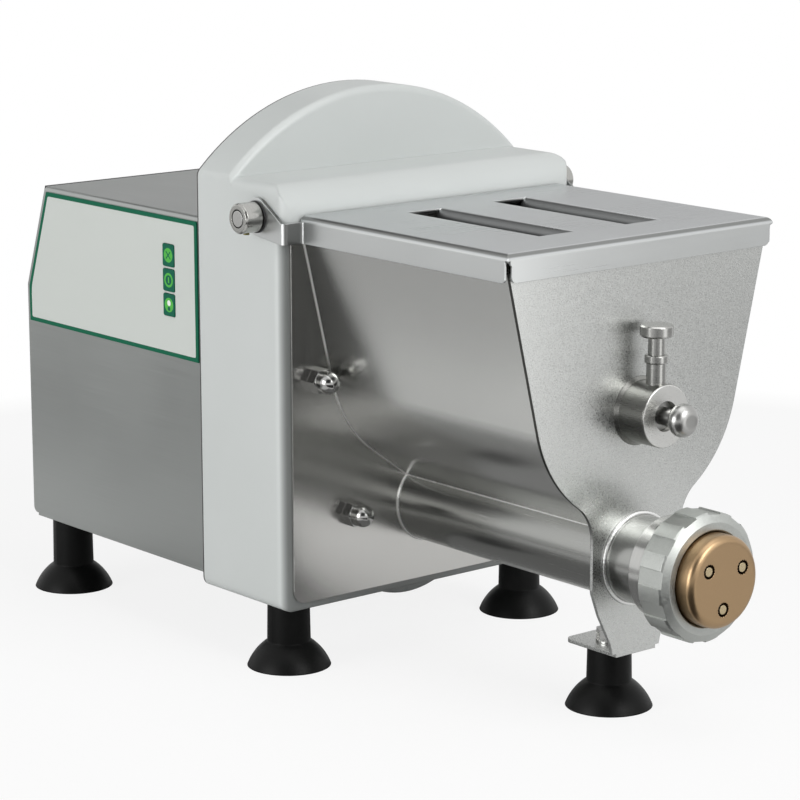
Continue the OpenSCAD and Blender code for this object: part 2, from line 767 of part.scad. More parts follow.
module neck_outline() {
  top = trough_z - 63.4;
  waist = auger_z - 14;
  knee = [neck_half - 5, auger_z - 27.5];
  low = tab_z + front_t;
  right = [[tab_half, low - 12], [tab_half + 4, low + 6], knee, [neck_half, waist], [neck_half, top]];
  offset(r = neck_r) offset(delta = -neck_r)
    polygon(concat(right, [for (k = [len(right) - 1:-1:0]) [-right[k][0], right[k][1]]]));
}

module front_outline() {
  offset(r = -neck_fillet) offset(r = neck_fillet) {
    trough_outline(trough_r + front_rim, rim_z);
    neck_outline();
  }
  translate([-rim_half, rim_z - over]) square([2 * rim_half, lid_top - lid_t - seat_gap - rim_z + over]);
}

module hopper_front_plate() color([0.76, 0.76, 0.75]) difference() {
  union() {
    difference() {
      along_y(face_y, hopper_y) front_outline();
      box_from([-tower_half, face_y - over, 0], [tower_half, hopper_y + over, tab_z + front_t]);
    }
    // the tab for the foot, folded back
    along_y(face_y, hopper_y) translate([-tab_half, tab_z]) square([2 * tab_half, front_t + over]);
    translate([0, face_y + tab_len / 2, tab_z]) linear_extrude(front_t) intersection() {
      pill(2 * tab_half, tab_len, 5);
      square([2 * tab_half, tab_len], center = true);
    }
    translate([-tab_half, face_y, tab_z]) cube([2 * tab_half, tab_len / 2, front_t]);
  }
  rod_y(barrel_d / 2, face_y - over, hopper_y + over, 0, auger_z);
  rod_y(boss_bore / 2, face_y - over, hopper_y + over, 0, mixer_z);
  translate([0, hopper_foot_y, tab_z - over]) cylinder(d = foot_stud + 2 * run_fit, h = front_t + 2 * over);
}

module barrel() color([0.76, 0.76, 0.75]) difference() {
  union() {
    rod_y(barrel_d / 2, barrel_y, plate_y, 0, auger_z);
    // weld at the front plate
    turned(0, face_y, auger_z) polygon([[barrel_d / 2 - 0.5, 0], [barrel_d / 2 + 2, 0], [barrel_d / 2 - 0.5, 2.5]]);
  }
  rod_y(barrel_d / 2 - barrel_t, barrel_y - over, plate_y + over, 0, auger_z);
  // open to the trough
  along_y(hopper_y, plate_y + over) trough_outline(trough_r - hopper_t, mixer_z);
}

module barrel_collar() color([0.72, 0.72, 0.71]) {
  pitch = 3;
  turned(0, barrel_y + collar_len, auger_z) difference() {
    translate([barrel_d / 2, 0]) square([(collar_d - barrel_d) / 2, collar_len]);
    // run-out of the thread
    translate([collar_d / 2 - 0.8, collar_len - nut_grip - 4]) square([2, pitch]);
    translate([collar_d / 2, collar_len]) rotate(45) square(1.4, center = true);
  }
}

module acorn_nuts() color([0.85, 0.85, 0.84]) both_sides() for (p = acorns) difference() {
  dome = nut_flats / 2 - 0.2;
  top = plate_y - acorn_h - 4.2;
  union() {
    translate([p[0], plate_y, p[1]]) rotate([90, 0, 0]) cylinder(r = nut_flats / 2 / cos(30), h = acorn_h, $fn = 6);
    rod_y(dome, top, plate_y - acorn_h, p[0], p[1]);
    intersection() {
      translate([p[0], top, p[1]]) sphere(dome);
      rod_y(nut_flats, top - nut_flats, plate_y - acorn_h - 2, p[0], p[1]);
    }
  }
  rod_y(stud_d / 2 + run_fit, plate_y - 11, plate_y + over, p[0], p[1]);
}

module hopper_studs() color([0.6, 0.6, 0.6]) both_sides() for (p = acorns) {
  rod_y(stud_d / 2, plate_y - 10, wall_y + 8, p[0], p[1]);
  // nut inside the tower
  translate([p[0], wall_y + 6, p[1]]) rotate([90, 0, 0]) cylinder(r = nut_flats / 2 / cos(30), h = 6, $fn = 6);
}

// ---- lid ---------------------------------------------------------------------

module lid_section(i, low) {
  translate([-lid_half + i, low]) square([2 * (lid_half - i), lid_top - lid_bend - low]);
  translate([-lid_half + lid_bend, low]) square([2 * (lid_half - lid_bend), lid_top - i - low]);
  for (s = [-1, 1]) translate([s * (lid_half - lid_bend), lid_top - lid_bend]) circle(lid_bend - i);
}

module lid_profile(i, low) {
  translate([lid_front + i, low]) square([lid_back - lid_front + over, lid_top - lid_bend - low]);
  translate([lid_front + lid_bend, low]) square([lid_back - lid_front, lid_top - i - low]);
  translate([lid_front + lid_bend, lid_top - lid_bend]) circle(lid_bend - i);
}

module lid_form(i, low, back) intersection() {
  along_y(lid_front, back) lid_section(i, low);
  along_x(-lid_half, lid_half) lid_profile(i, low);
}

// a quarter of a bend of outer radius r: from level at the top to upright on the right
module bend(r) difference() {
  intersection() {
    circle(r);
    square(r);
  }
  circle(r - lid_t);
}

// one long side of a slot, bent down from x = 0 towards +x
module slot_side() along_y(slot_front, slot_back) {
  translate([0, lid_top - slot_bend]) bend(slot_bend);
  translate([slot_bend - lid_t, lid_top - slot_flange]) square([lid_t, slot_flange - slot_bend]);
}

// what is cut off the end of a turned-down edge, measured in from the corner by the gap
module edge_end(gap) {
  polygon([[-over, lid_low - over], [gap, lid_low - over], [gap, lid_top - lid_bend - 3], [0.2, lid_top - lid_bend],
    [-over, lid_top - lid_bend]]);
  difference() {
    translate([-over, lid_low - over]) square([gap + corner_r + over, corner_r + over]);
    translate([gap + corner_r, lid_low + corner_r]) circle(corner_r);
  }
}

// plan of the strip from the lid's edge out to the arm
module jog_plan() {
  y0 = lid_back - lid_t;
  translate([lid_half - lid_t + arm_bend, lid_back - arm_bend]) mirror([1, 0]) bend(arm_bend);
  translate([lid_half - lid_t + arm_bend, y0]) square([arm_out - lid_half + lid_t - 2 * arm_bend, lid_t]);
  translate([arm_out - arm_bend, y0 + arm_bend]) mirror([0, 1]) bend(arm_bend);
}

module lid() color([0.78, 0.78, 0.77]) {
  arm_top = lid_top - lid_bend;
  difference() {
    lid_form(0, lid_low, lid_back);
    lid_form(lid_t, lid_low - over, lid_back + over);
    both_sides() {
      box_from([slot_x, slot_front, lid_top - lid_t - over], [slot_x + slot_w, slot_back, lid_top + over]);
      along_x(lid_half - lid_t - over, lid_half + over) translate([lid_front, 0]) edge_end(corner_gap);
      along_y(lid_front - over, lid_front + lid_t + over)
        translate([lid_half, 0]) mirror([1, 0]) edge_end(corner_gap + 1);
      // where the edge bends out to the arm
      box_from([lid_half - lid_t - over, lid_back - arm_bend, lid_low - over], [lid_half + over, lid_back + over, arm_top]);
    }
  }
  both_sides() {
    translate([slot_x, 0, 0]) slot_side();
    translate([slot_x + slot_w, 0, 0]) mirror([1, 0, 0]) slot_side();
    translate([0, 0, lid_low]) linear_extrude(arm_top - lid_low) jog_plan();
    difference() {
      along_x(arm_x, arm_out) hull() {
        translate([hinge_y, hinge_z]) circle(arm_r);
        translate([lid_back - lid_t + arm_bend, lid_low]) square([0.5, arm_top - lid_low]);
      }
      rod_x(hinge_d / 2, arm_x - over, arm_out + over, hinge_y, hinge_z);
    }
  }
}

// ---- hinge -------------------------------------------------------------------

module hinge_shaft() color([0.7, 0.7, 0.7]) {
  rod_x(hinge_d / 2, -hinge_end, hinge_end, hinge_y, hinge_z);
  // cam that works the lid switch
  difference() {
    rod_x(cam_r, cam_x, cam_x + cam_t, hinge_y, hinge_z);
    translate([cam_x - over, hinge_y, hinge_z]) rotate([60, 0, 0])
      translate([0, -2 * cam_r, cam_r - 2.5]) cube([cam_t + 2 * over, 4 * cam_r, cam_r]);
  }
}

module lid_switch() color([0.1, 0.1, 0.1]) {
  top = hinge_z - cam_r - seat_gap;
  rod_z(1.6, top - 4, top, cam_x + cam_t / 2, hinge_y);
  box_from([cam_x - 1, hinge_y - 10, top - 16], [cam_x + cam_t + 1, hinge_y + 10, top - 1.5]);
  // bracket to the tower's front wall
  box_from([cam_x - 4, wall_y, top - 20], [cam_x + cam_t + 4, wall_y + 1.5, top - 4]);
  box_from([cam_x - 4, wall_y, top - 17.5], [cam_x + cam_t + 4, hinge_y + 10, top - 16]);
}

module hinge_knobs() color([0.8, 0.8, 0.8]) both_sides() difference() {
  translate([knob_x, hinge_y, hinge_z]) rotate([0, 90, 0]) rotate_extrude() difference() {
    translate([hinge_d / 2, 0]) square([(knob_d - hinge_d) / 2, knob_len]);
    for (h = [0, knob_len]) translate([knob_d / 2, h]) rotate(45) square(1.4, center = true);
    // groove round the shaft's end
    translate([hinge_d / 2 - over, knob_len - 1]) square([0.7 + over, 1 + over]);
  }
  rod_z(set_screw_d / 2 + run_fit, hinge_z - knob_d, hinge_z, knob_x + knob_len / 2, hinge_y);
}

// set screws, which stand out a little under the knobs
module knob_screws() color([0.6, 0.5, 0.25]) both_sides() difference() {
  rod_z(set_screw_d / 2, hinge_z - knob_d / 2 - 0.8, hinge_z, knob_x + knob_len / 2, hinge_y);
  rod_z(0.8, hinge_z - knob_d, hinge_z - knob_d / 2 + 1, knob_x + knob_len / 2, hinge_y);
  rod_x(hinge_d / 2, knob_x - over, hinge_end + over, hinge_y, hinge_z);
}

module knob_washers() color([0.05, 0.05, 0.05]) both_sides() difference() {
  rod_x(washer_d / 2, arm_out, knob_x, hinge_y, hinge_z);
  rod_x(hinge_d / 2, arm_out - over, knob_x + over, hinge_y, hinge_z);
}

module hinge_bushes() color([0.5, 0.42, 0.3]) both_sides() difference() {
  union() {
    rod_x(hinge_d / 2 + 2, tower_half - tower_wall, tower_half, hinge_y, hinge_z);
    rod_x(hinge_d / 2 + 4, tower_half - tower_wall - 1.5, tower_half - tower_wall, hinge_y, hinge_z);
    rod_x(hinge_d / 2 + 3.5, tower_half, arm_x - seat_gap, hinge_y, hinge_z);
  }
  rod_x(hinge_d / 2 + run_fit, tower_half - 20, tower_half + 20, hinge_y, hinge_z);
}

// ---- nut and die ---------------------------------------------------------------

module ring_nut() color([0.75, 0.75, 0.73]) {
  len = nut_back_y - nut_y;
  bore = collar_d / 2 + seat_gap;
  lip = die_d / 2 + 0.5;
  rim = nut_d / 2;
  difference() {
    turned(0, nut_back_y, auger_z)
      polygon([[bore, 0], [rim - 0.8, 0], [rim, 0.8], [rim, len - 3.2], [rim - 1, len - 2.2],
        [rim - 5, len], [lip + 0.8, len], [lip, len - 0.8], [lip, len - nut_lip], [bore, len - nut_lip]]);
    for (k = [0:nut_grooves - 1]) translate([0, nut_back_y + over, auger_z])
      rotate([90, 360 * (k + 0.25) / nut_grooves, 0]) linear_extrude(len + 2 * over)
        translate([rim - groove_depth, -PI * nut_d / nut_grooves / 4]) square([10, PI * nut_d / nut_grooves / 2]);
  }
}

function serration(d, n) = [for (k = [0:2 * n - 1]) let(r = d / 2 - (k % 2) * 0.45) [r * cos(180 * k / n), r * sin(180 * k / n)]];

module each_die_hole() for (k = [0:2]) rotate([0, 0, 26 + 120 * k]) translate([die_hole_r, 0]) children();

module die() color([0.6, 0.45, 0.28]) difference() {
  round_r = 4;
  turned(0, barrel_y, auger_z) {
    square([collar_d / 2 - 0.2, die_flange]);
    square([die_d / 2, die_flange + die_len - round_r]);
    square([die_d / 2 - round_r, die_flange + die_len]);
    translate([die_d / 2 - round_r, die_flange + die_len - round_r]) circle(round_r);
  }
  translate([0, barrel_y, auger_z]) rotate([90, 0, 0]) each_die_hole() {
    translate([0, 0, -over]) linear_extrude(die_flange + die_len + 2 * over) polygon(serration(die_hole_d, die_teeth));
    translate([0, 0, -over]) cylinder(d = insert_seat, h = insert_depth + over);
  }
}

module die_inserts() color([0.62, 0.48, 0.32]) translate([0, barrel_y, auger_z]) rotate([90, 0, 0]) each_die_hole()
  difference() {
    union() {
      translate([0, 0, insert_depth - 5]) cylinder(d = insert_seat, h = 5);
      translate([0, 0, insert_depth - 1]) cylinder(d = insert_d, h = die_flange + die_len - insert_depth + 0.8);
    }
    // ways for the dough round the pin
    for (a = [0:120:240]) rotate(a) translate([(insert_d + insert_seat) / 4 - 0.2, 0, insert_depth - 6])
      cylinder(d = (insert_seat - insert_d) / 2 - 1.4, h = 5 + 2 * over);
  }

// ---- locking pin and plunger -----------------------------------------------------

module pin_boss() color([0.78, 0.78, 0.77]) difference() {
  turned(0, face_y, mixer_z) {
    difference() {
      square([boss_d / 2, boss_len]);
      translate([boss_d / 2, boss_len]) rotate(45) square(0.8, center = true);
    }
    polygon([[boss_d / 2 - 0.5, 0], [boss_d / 2 + 1.8, 0], [boss_d / 2 - 0.5, 2.3]]);
  }
  rod_y(boss_bore / 2, boss_y - over, face_y + over, 0, mixer_z);
  rod_z(sleeve_d / 2, sleeve_low, mixer_z + boss_d, 0, plunger_y);
  rod_z(tip_d / 2 + run_fit, mixer_z, sleeve_low + over, 0, plunger_y);
}

module pivot_pin() color([0.8, 0.8, 0.79]) {
  body_front = boss_y + 4;
  body_back = mixer_front - seat_gap;
  turned(0, body_back, mixer_z) difference() {
    square([pin_r, body_back - body_front]);
    // groove for the plunger
    translate([groove_r, body_back - plunger_y - tip_d / 2 - 0.4]) square([pin_r, tip_d + 0.8]);
    translate([pin_r, 0]) rotate(45) square(1.2, center = true);
  }
  rod_y(pin_nose / 2, body_back - over, mixer_front + pin_nose, 0, mixer_z);
  rod_y(pin_stem / 2, pin_knob_y, body_front + over, 0, mixer_z);
  // rounded knob
  e = (pin_knob - pin_knob_t) / 2;
  turned(0, pin_knob_y + pin_knob_t / 2, mixer_z) intersection() {
    union() {
      square([e, pin_knob_t]);
      translate([e, pin_knob_t / 2]) circle(pin_knob_t / 2);
    }
    square([pin_knob, pin_knob_t]);
  }
}

module plunger_sleeve() color([0.8, 0.8, 0.79]) difference() {
  translate([0, plunger_y, 0]) rotate_extrude() {
    translate([0, sleeve_low]) square([sleeve_d / 2, sleeve_top - sleeve_low]);
    translate([0, sleeve_top - band_h]) difference() {
      square([sleeve_d / 2 + 1, band_h]);
      for (h = [0, band_h]) translate([sleeve_d / 2 + 1, h]) rotate(45) square(0.7, center = true);
    }
  }
  rod_z(chamber_d / 2, sleeve_low - over, bushing_low, 0, plunger_y);
  rod_z(rod_d / 2 + run_fit, bushing_low - over, bushing_top + over, 0, plunger_y);
  rod_z(neck_d / 2 + 0.1, bushing_top, sleeve_top + over, 0, plunger_y);
}

module plunger() color([0.8, 0.8, 0.79]) translate([0, plunger_y, 0]) rotate_extrude() {
  neck_low = bushing_top + plunger_travel + 0.3;
  head_low = sleeve_top + plunger_neck;
  head_h = 6.4;
  translate([0, tip_low + 0.5]) square([tip_d / 2, collar_low - tip_low]);
  translate([0, tip_low]) square([tip_d / 2 - 0.5, 1]);
  translate([0, collar_low]) square([chamber_d / 2 - 0.15, 1.5]);
  translate([0, collar_low]) square([rod_d / 2, neck_low - collar_low + over]);
  translate([0, neck_low]) square([neck_d / 2, head_low - neck_low + over]);
  translate([0, head_low]) difference() {
    square([plunger_head / 2, head_h]);
    for (h = [0, head_h]) translate([plunger_head / 2, h]) rotate(45) square(1.2, center = true);
  }
}

// ---- swept pieces ----------------------------------------------------------------

// side faces and both ends of a tube with n corners round it and m rings
function sweep_faces(n, m) = concat([[for (k = [0:n - 1]) k]],
  [for (i = [0:m - 2]) for (k = [0:n - 1]) each [[n * i + k, n * (i + 1) + k, n * (i + 1) + (k + 1) % n],
    [n * i + k, n * (i + 1) + (k + 1) % n, n * i + (k + 1) % n]]],
  [[for (k = [0:n - 1]) n * m - 1 - k]]);

module plunger_spring() color([0.5, 0.5, 0.5]) {
  wire = 0.4;
  mid = (chamber_d / 2 - 0.3 + rod_d / 2 + 0.3) / 2;
  low = collar_low + 1.5 + wire + 0.1;
  rise = bushing_low - low - wire - 0.1;
  turns = 5;
  steps = 18;
  sides = 6;
  rings = turns * steps + 1;
  pts = [for (i = [0:rings - 1]) let(a = 360 * i / steps, z = low + rise * i / (rings - 1))
    for (k = [0:sides - 1]) let(r = mid + wire * cos(360 * k / sides)) [r * cos(a), r * sin(a), z + wire * sin(360 * k / sides)]];
  translate([0, plunger_y, 0]) polyhedron(pts, sweep_faces(sides, rings), convexity = 10);
}

module auger_flight() color([0.8, 0.8, 0.78]) {
  steps = 32;
  root_w = 3;
  edge_w = 1.5;
  root_r = auger_core / 2 / cos(180 / steps) + hair;
  len = plate_y - barrel_y - 20;
  rings = floor(len / auger_lead * steps) + 1;
  pts = [for (i = [0:rings - 1]) let(a = 360 * i / steps, y = auger_lead * i / steps + root_w + 5, c = cos(a), s = sin(a))
    each [[root_r * c, root_r * s, y - root_w], [auger_r * c, auger_r * s, y - edge_w],
      [auger_r * c, auger_r * s, y + edge_w], [root_r * c, root_r * s, y + root_w]]];
  translate([0, plate_y, auger_z]) rotate([90, 0, 0]) polyhedron(pts, sweep_faces(4, rings), convexity = 10);
}

// ---- auger and mixer ---------------------------------------------------------------

module auger_core() color([0.8, 0.8, 0.78]) difference() {
  tip = 6;
  turned(0, hub_y - seat_gap, auger_z) {
    len = hub_y - seat_gap - barrel_y - 3;
    square([auger_core / 2, len - tip]);
    polygon([[0, len - tip], [auger_core / 2, len - tip], [auger_core / 2 - tip, len], [0, len]]);
  }
  square_socket(auger_z);
}

module square_socket(z) translate([-tang / 2 - 0.1, hub_y - tang_len - 1, z - tang / 2 - 0.1])
  cube([tang + 0.2, tang_len + 1 + over, tang + 0.2]);

// a drive shaft with its square end in the hopper
module drive_shaft(d, z) {
  rod_y(d / 2, hub_y, gear_plate_back + 4, 0, z);
  translate([-tang / 2, hub_y - tang_len, z - tang / 2]) cube([tang, tang_len + over, tang]);
  // collar against the rear bearing
  rod_y(d / 2 + 3, gear_y + gear_w + hair, gear_plate_y - seat_gap, 0, z);
}
module auger_drive() color([0.65, 0.65, 0.65]) drive_shaft(auger_drive_d, auger_z);
module mixer_drive() color([0.65, 0.65, 0.65]) drive_shaft(mixer_drive_d, mixer_z);

module mixer() color([0.8, 0.8, 0.78]) difference() {
  step = (hub_y - mixer_front - 30) / (paddle_pairs - 1);
  union() {
    rod_y(mixer_d / 2, mixer_front, hub_y - seat_gap, 0, mixer_z);
    for (k = [0:paddle_pairs - 1]) translate([0, mixer_front + 15 + k * step, mixer_z])
      rotate([0, 90 * k, 0]) for (a = [0, 180]) rotate([0, a, 0]) {
        cylinder(d = 9, h = mixer_r - 12);
        translate([0, 0, mixer_r - 14]) rotate([0, 0, 35]) rotate([90, 0, 0]) translate([0, 0, -paddle_t / 2])
          linear_extrude(paddle_t) pill(paddle_w, 22, 5);
      }
  }
  square_socket(mixer_z);
  rod_y(pin_nose / 2 + run_fit, mixer_front - over, mixer_front + pin_nose + 2, 0, mixer_z);
}

// ---- gears ---------------------------------------------------------------------------

function rad_to_deg(a) = a * 180 / PI;
// angle swept by an involute from its base circle rb out to radius r
function sweep_at(r, rb) = r <= rb ? 0 : rad_to_deg(sqrt(pow(r / rb, 2) - 1)) - atan(sqrt(pow(r / rb, 2) - 1));

// corners of tooth k of a gear with n teeth
function tooth(n, k) =
  let(rp = gear_module * n / 2, rb = rp * cos(pressure_angle), ra = rp + gear_module,
    rr = rp - 1.25 * gear_module, r0 = max(rb, rr), flank = 5,
    half = 90 / n - rad_to_deg(backlash / 2 / rp) + sweep_at(rp, rb), mid = 360 * k / n,
    side = [for (i = [0:flank]) let(r = r0 + (ra - r0) * i / flank) [r, half - sweep_at(r, rb)]],
    right = rr < rb ? concat([[rr, half]], side) : side, last = len(right) - 1)
  concat([for (p = right) p[0] * [cos(mid - p[1]), sin(mid - p[1])]],
    [for (i = [last:-1:0]) let(p = right[i]) p[0] * [cos(mid + p[1]), sin(mid + p[1])]]);

module gear_outline(n) polygon([for (k = [0:n - 1]) each tooth(n, k)]);

// turn of tooth 0 of a gear with n2 teeth that meshes with one of n1 teeth at turn t1, in direction a
function mesh_turn(n1, t1, n2, a) = a + 180 + (180 - n1 * (t1 - a)) / n2;

module gear(n, turn, bore, x, z, y0, y1) {
  rp = gear_module * n / 2;
  translate([x, y1, z]) rotate([90, 0, 0]) linear_extrude(y1 - y0) difference() {
    rotate(turn) gear_outline(n);
    circle(bore / 2 + hair);
    if (rp > 25) for (k = [0:5]) rotate(60 * k) translate([(bore / 2 + rp) / 2, 0]) circle(rp / 6);
  }
}

module auger_gear() color([0.55, 0.55, 0.5])
  gear(auger_teeth, 90, auger_drive_d, 0, auger_z, gear_y, gear_y + gear_w);
module mixer_gear() color([0.55, 0.55, 0.5])
  gear(mixer_teeth, mesh_turn(auger_teeth, 90, mixer_teeth, 90), mixer_drive_d, 0, mixer_z, gear_y + 1, gear_y + gear_w);
module pinion() color([0.6, 0.6, 0.6]) {
  gear(pinion_teeth, mesh_turn(auger_teeth, 90, pinion_teeth, pinion_angle), 0, pinion_x, pinion_z,
    gear_y - 2, gear_y + gear_w + 2);
  rod_y(output_d / 2, gear_y - 4, gear_plate_back + gearhead_len - 10, pinion_x, pinion_z);
}

module bearing_housing() color([0.5, 0.52, 0.52]) difference() {
  along_y(wall_y, housing_y) hull() {
    translate([0, auger_z]) circle(auger_bearing_d / 2 + 5);
    translate([0, mixer_z]) circle(mixer_bearing_d / 2 + 5);
  }
  rod_y(auger_bearing_d / 2, wall_y - over, housing_y + over, 0, auger_z);
  rod_y(mixer_bearing_d / 2, wall_y - over, housing_y + over, 0, mixer_z);
}

module bearing(d, outer, y, z) difference() {
  turned(0, y + bearing_w, z) difference() {
    square([outer / 2, bearing_w]);
    for (h = [0, bearing_w]) translate([(d + outer) / 4, h]) square([(outer - d) / 5, 1.6], center = true);
  }
  rod_y(d / 2 + run_fit, y - over, y + bearing_w + over, 0, z);
}

module shaft_bearings() color([0.7, 0.7, 0.72]) for (y = [wall_y, gear_plate_y]) {
  bearing(auger_drive_d, auger_bearing_d, y, auger_z);
  bearing(mixer_drive_d, mixer_bearing_d, y, mixer_z);
}

module seal(d, z) difference() {
  union() {
    rod_y(d / 2 + 5, plate_y, wall_y, 0, z);
    rod_y(d / 2 + 8, plate_y - 1.5, plate_y, 0, z);
  }
  rod_y(d / 2 + run_fit, plate_y - 5, wall_y + 5, 0, z);
}
module shaft_seals() color([0.1, 0.1, 0.1]) {
  seal(auger_drive_d, auger_z);
  seal(mixer_drive_d, mixer_z);
}

module gear_plate() color([0.5, 0.52, 0.52]) difference() {
  low = tower_z + tower_wall + 8;
  high = mixer_z + 52;
  along_y(gear_plate_y, gear_plate_back) translate([0, (low + high) / 2]) pill(2 * gear_plate_half, high - low, 10);
  rod_y(auger_bearing_d / 2, gear_plate_y - over, gear_plate_back + over, 0, auger_z);
  rod_y(mixer_bearing_d / 2, gear_plate_y - over, gear_plate_back + over, 0, mixer_z);
  rod_y(output_d / 2 + 3, gear_plate_y - over, gear_plate_back + over, pinion_x, pinion_z);
  each_pillar() rod_y(2.5 + run_fit, gear_plate_y - over, gear_plate_back + over, 0, 0);
}

module each_pillar() for (s = [-1, 1]) for (z = [tower_z + tower_wall + 18, mixer_z + 42])
  translate([s * (gear_plate_half - 10), 0, z]) children();

module plate_pillars() color([0.65, 0.65, 0.65]) each_pillar() {
  rod_y(7, wall_y, gear_plate_y, 0, 0);
  rod_y(2.5, gear_plate_y - over, gear_plate_back, 0, 0);
  rod_y(5, gear_plate_back, gear_plate_back + 3.5, 0, 0);
}

module gearhead() color([0.45, 0.45, 0.45]) difference() {
  rod_y(motor_d / 2 - 2, gear_plate_back, motor_y, pinion_x, pinion_z);
  rod_y(output_d / 2 + run_fit, gear_plate_back - over, motor_y - 8, pinion_x, pinion_z);
}

module motor() color([0.3, 0.3, 0.3]) difference() {
  bell = 18;
  turned(pinion_x, motor_y + motor_len, pinion_z) {
    translate([0, bell]) square([motor_d / 2, motor_len - 2 * bell]);
    square([motor_d / 2 - 3, motor_len]);
  }
  // air slots of the rear bell
  translate([pinion_x, 0, pinion_z]) for (k = [0:7]) rotate([0, 45 * k, 0])
    box_from([motor_d / 2 - 8, motor_y + motor_len - bell + 4, -5], [motor_d / 2 + over, motor_y + motor_len - 4, 5]);
}

module capacitor() color([0.85, 0.85, 0.85]) {
  rod_y(capacitor_r, tower_back + 24, tower_back + 18 + capacitor_len, capacitor_x, capacitor_z);
  rod_y(capacitor_r - 5, tower_back + 20, tower_back + 20 + capacitor_len, capacitor_x, capacitor_z);
}

module capacitor_strap() color([0.4, 0.4, 0.4]) difference() {
  along_y(strap_y, strap_y + strap_w) translate([capacitor_x, 0]) {
    translate([0, capacitor_z]) circle(capacitor_r + casing_t);
    translate([-capacitor_r - 12, casing_z]) square([capacitor_d + 24, casing_t]);
    translate([-capacitor_r - casing_t, casing_z]) square([capacitor_d + 2 * casing_t, capacitor_r]);
  }
  rod_y(capacitor_r, strap_y - over, strap_y + strap_w + over, capacitor_x, capacitor_z);
  translate([capacitor_x, 0, 0])
    box_from([-capacitor_r, strap_y - over, casing_z - capacitor_r], [capacitor_r, strap_y + strap_w + over, capacitor_z]);
}

// ---- power inlet and screws ------------------------------------------------------------

module inlet_window(y0, y1) along_y(y0, y1) translate([inlet_x, inlet_z]) square([28, 20.6], center = true);

module power_inlet() color([0.08, 0.08, 0.08]) {
  difference() {
    union() {
      along_y(casing_back, casing_back + 2.5) translate([inlet_x, inlet_z]) pill(50, 24, 5);
      along_y(casing_back - 24, casing_back + 0.5) translate([inlet_x, inlet_z]) square([27.6, 20.2], center = true);
    }
    along_y(casing_back - 16, casing_back + 4) translate([inlet_x, inlet_z])
      polygon([[-12, 8], [12, 8], [12, -4], [8, -8], [-8, -8], [-12, -4]]);
    for (s = [-1, 1]) rod_y(1.8, casing_back - 2, casing_back + 4, inlet_x + s * 20, inlet_z);
  }
  // contact blades
  for (p = [[-7, -2], [0, 2], [7, -2]]) along_y(casing_back - 17, casing_back - 3)
    translate([inlet_x + p[0], inlet_z + p[1]]) square([2, 4], center = true);
}

module button_screw(shank) {
  rotate_extrude() difference() {
    union() {
      square([3.5, 2]);
      translate([0, -shank]) square([2, shank + 0.5]);
    }
    translate([3.5, 2]) rotate(45) square(1.2, center = true);
    translate([0, 0.8]) square([1.2, 3]);
  }
}

module casing_screws() color([0.75, 0.75, 0.75]) for (p = cover_screws)
  on_slope(p) translate([0, 0, cover_proud]) button_screw(cover_proud + casing_t + 2);

// ---- feet ----------------------------------------------------------------------------

// a bell foot of height h, turned about its own axis
module foot(h) difference() {
  rim = foot_d / 2;
  across = (foot_d - foot_stem) / 2;
  chord = norm([across, bell_h]);
  mid = [rim - across / 2, bell_h / 2] - sqrt(pow(bell_r, 2) - pow(chord / 2, 2)) / chord * [bell_h, across];
  rotate_extrude() {
    polygon([[0, 0], [foot_stem / 2, 0], [foot_stem / 2, bell_h], [foot_stem / 2 - 0.4, h], [0, h]]);
    intersection() {
      translate(mid) circle(bell_r);
      square([rim, bell_h]);
    }
  }
  // hollow ring under the bell
  translate([0, 0, -over]) rotate_extrude() intersection() {
    translate(mid + [0, over]) circle(bell_r - 2.5);
    translate([foot_stem / 2 - 4, 0]) square([rim, 7]);
  }
  rod_z(foot_stud / 2 + run_fit, h - 16, h + over, 0, 0);
}

module front_feet() color([0.06, 0.06, 0.06]) both_sides() translate([foot_x, front_y + foot_front, 0]) foot(tower_z);
module rear_feet() color([0.06, 0.06, 0.06]) both_sides() translate([foot_x, rear_foot_y, 0]) foot(tray_z);
module hopper_foot() color([0.06, 0.06, 0.06]) translate([0, hopper_foot_y, 0]) foot(tab_z);

// a stud from a foot through a floor at z with thickness t, with its nut above
module stud_and_nut(x, y, z, t) translate([x, y, 0]) {
  rod_z(foot_stud / 2, z - 15, z + t + 9, 0, 0);
  rod_z(7.5, z + t, z + t + 1.4, 0, 0);
  translate([0, 0, z + t + 1.4]) cylinder(r = nut_flats / 2 / cos(30), h = 6, $fn = 6);
}
module foot_studs() color([0.7, 0.7, 0.7]) both_sides() {
  stud_and_nut(foot_x, front_y + foot_front, tower_z, tower_wall);
  stud_and_nut(foot_x, rear_foot_y, tray_z, casing_t);
}
module foot_hardware() color([0.8, 0.8, 0.8]) stud_and_nut(0, hopper_foot_y, tab_z, front_t);

tower_housing();
rear_casing();
rear_cover();
base_tray();
control_panel();
key_upper();
key_middle();
key_lower();
control_board();
key_switches();
hopper_back_plate();
hopper_side_left();
hopper_side_right();
hopper_front_plate();
barrel();
barrel_collar();
acorn_nuts();
hopper_studs();
lid();
hinge_shaft();
hinge_knobs();
knob_screws();
knob_washers();
hinge_bushes();
lid_switch();
ring_nut();
die();
die_inserts();
pin_boss();
pivot_pin();
plunger_sleeve();
plunger();
plunger_spring();
auger_core();
auger_flight();
auger_drive();
auger_gear();
mixer();
mixer_drive();
mixer_gear();
pinion();
bearing_housing();
shaft_bearings();
shaft_seals();
gear_plate();
plate_pillars();
gearhead();
motor();
capacitor();
capacitor_strap();
power_inlet();
casing_screws();
front_feet();
rear_feet();
hopper_foot();
foot_studs();
foot_hardware();
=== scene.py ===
# %% [markdown]
# # An electric pasta maker, dressed in Blender
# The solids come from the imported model: every housing, plate, gear and knob already has its true size
# and place. This file gives them their finishes, adds what is too fine for solids, such as weld beads and
# key signs, and sets up a plain studio. Everything is in metres, with the floor at z = 0, the hopper
# towards -Y and the key panel on -X.

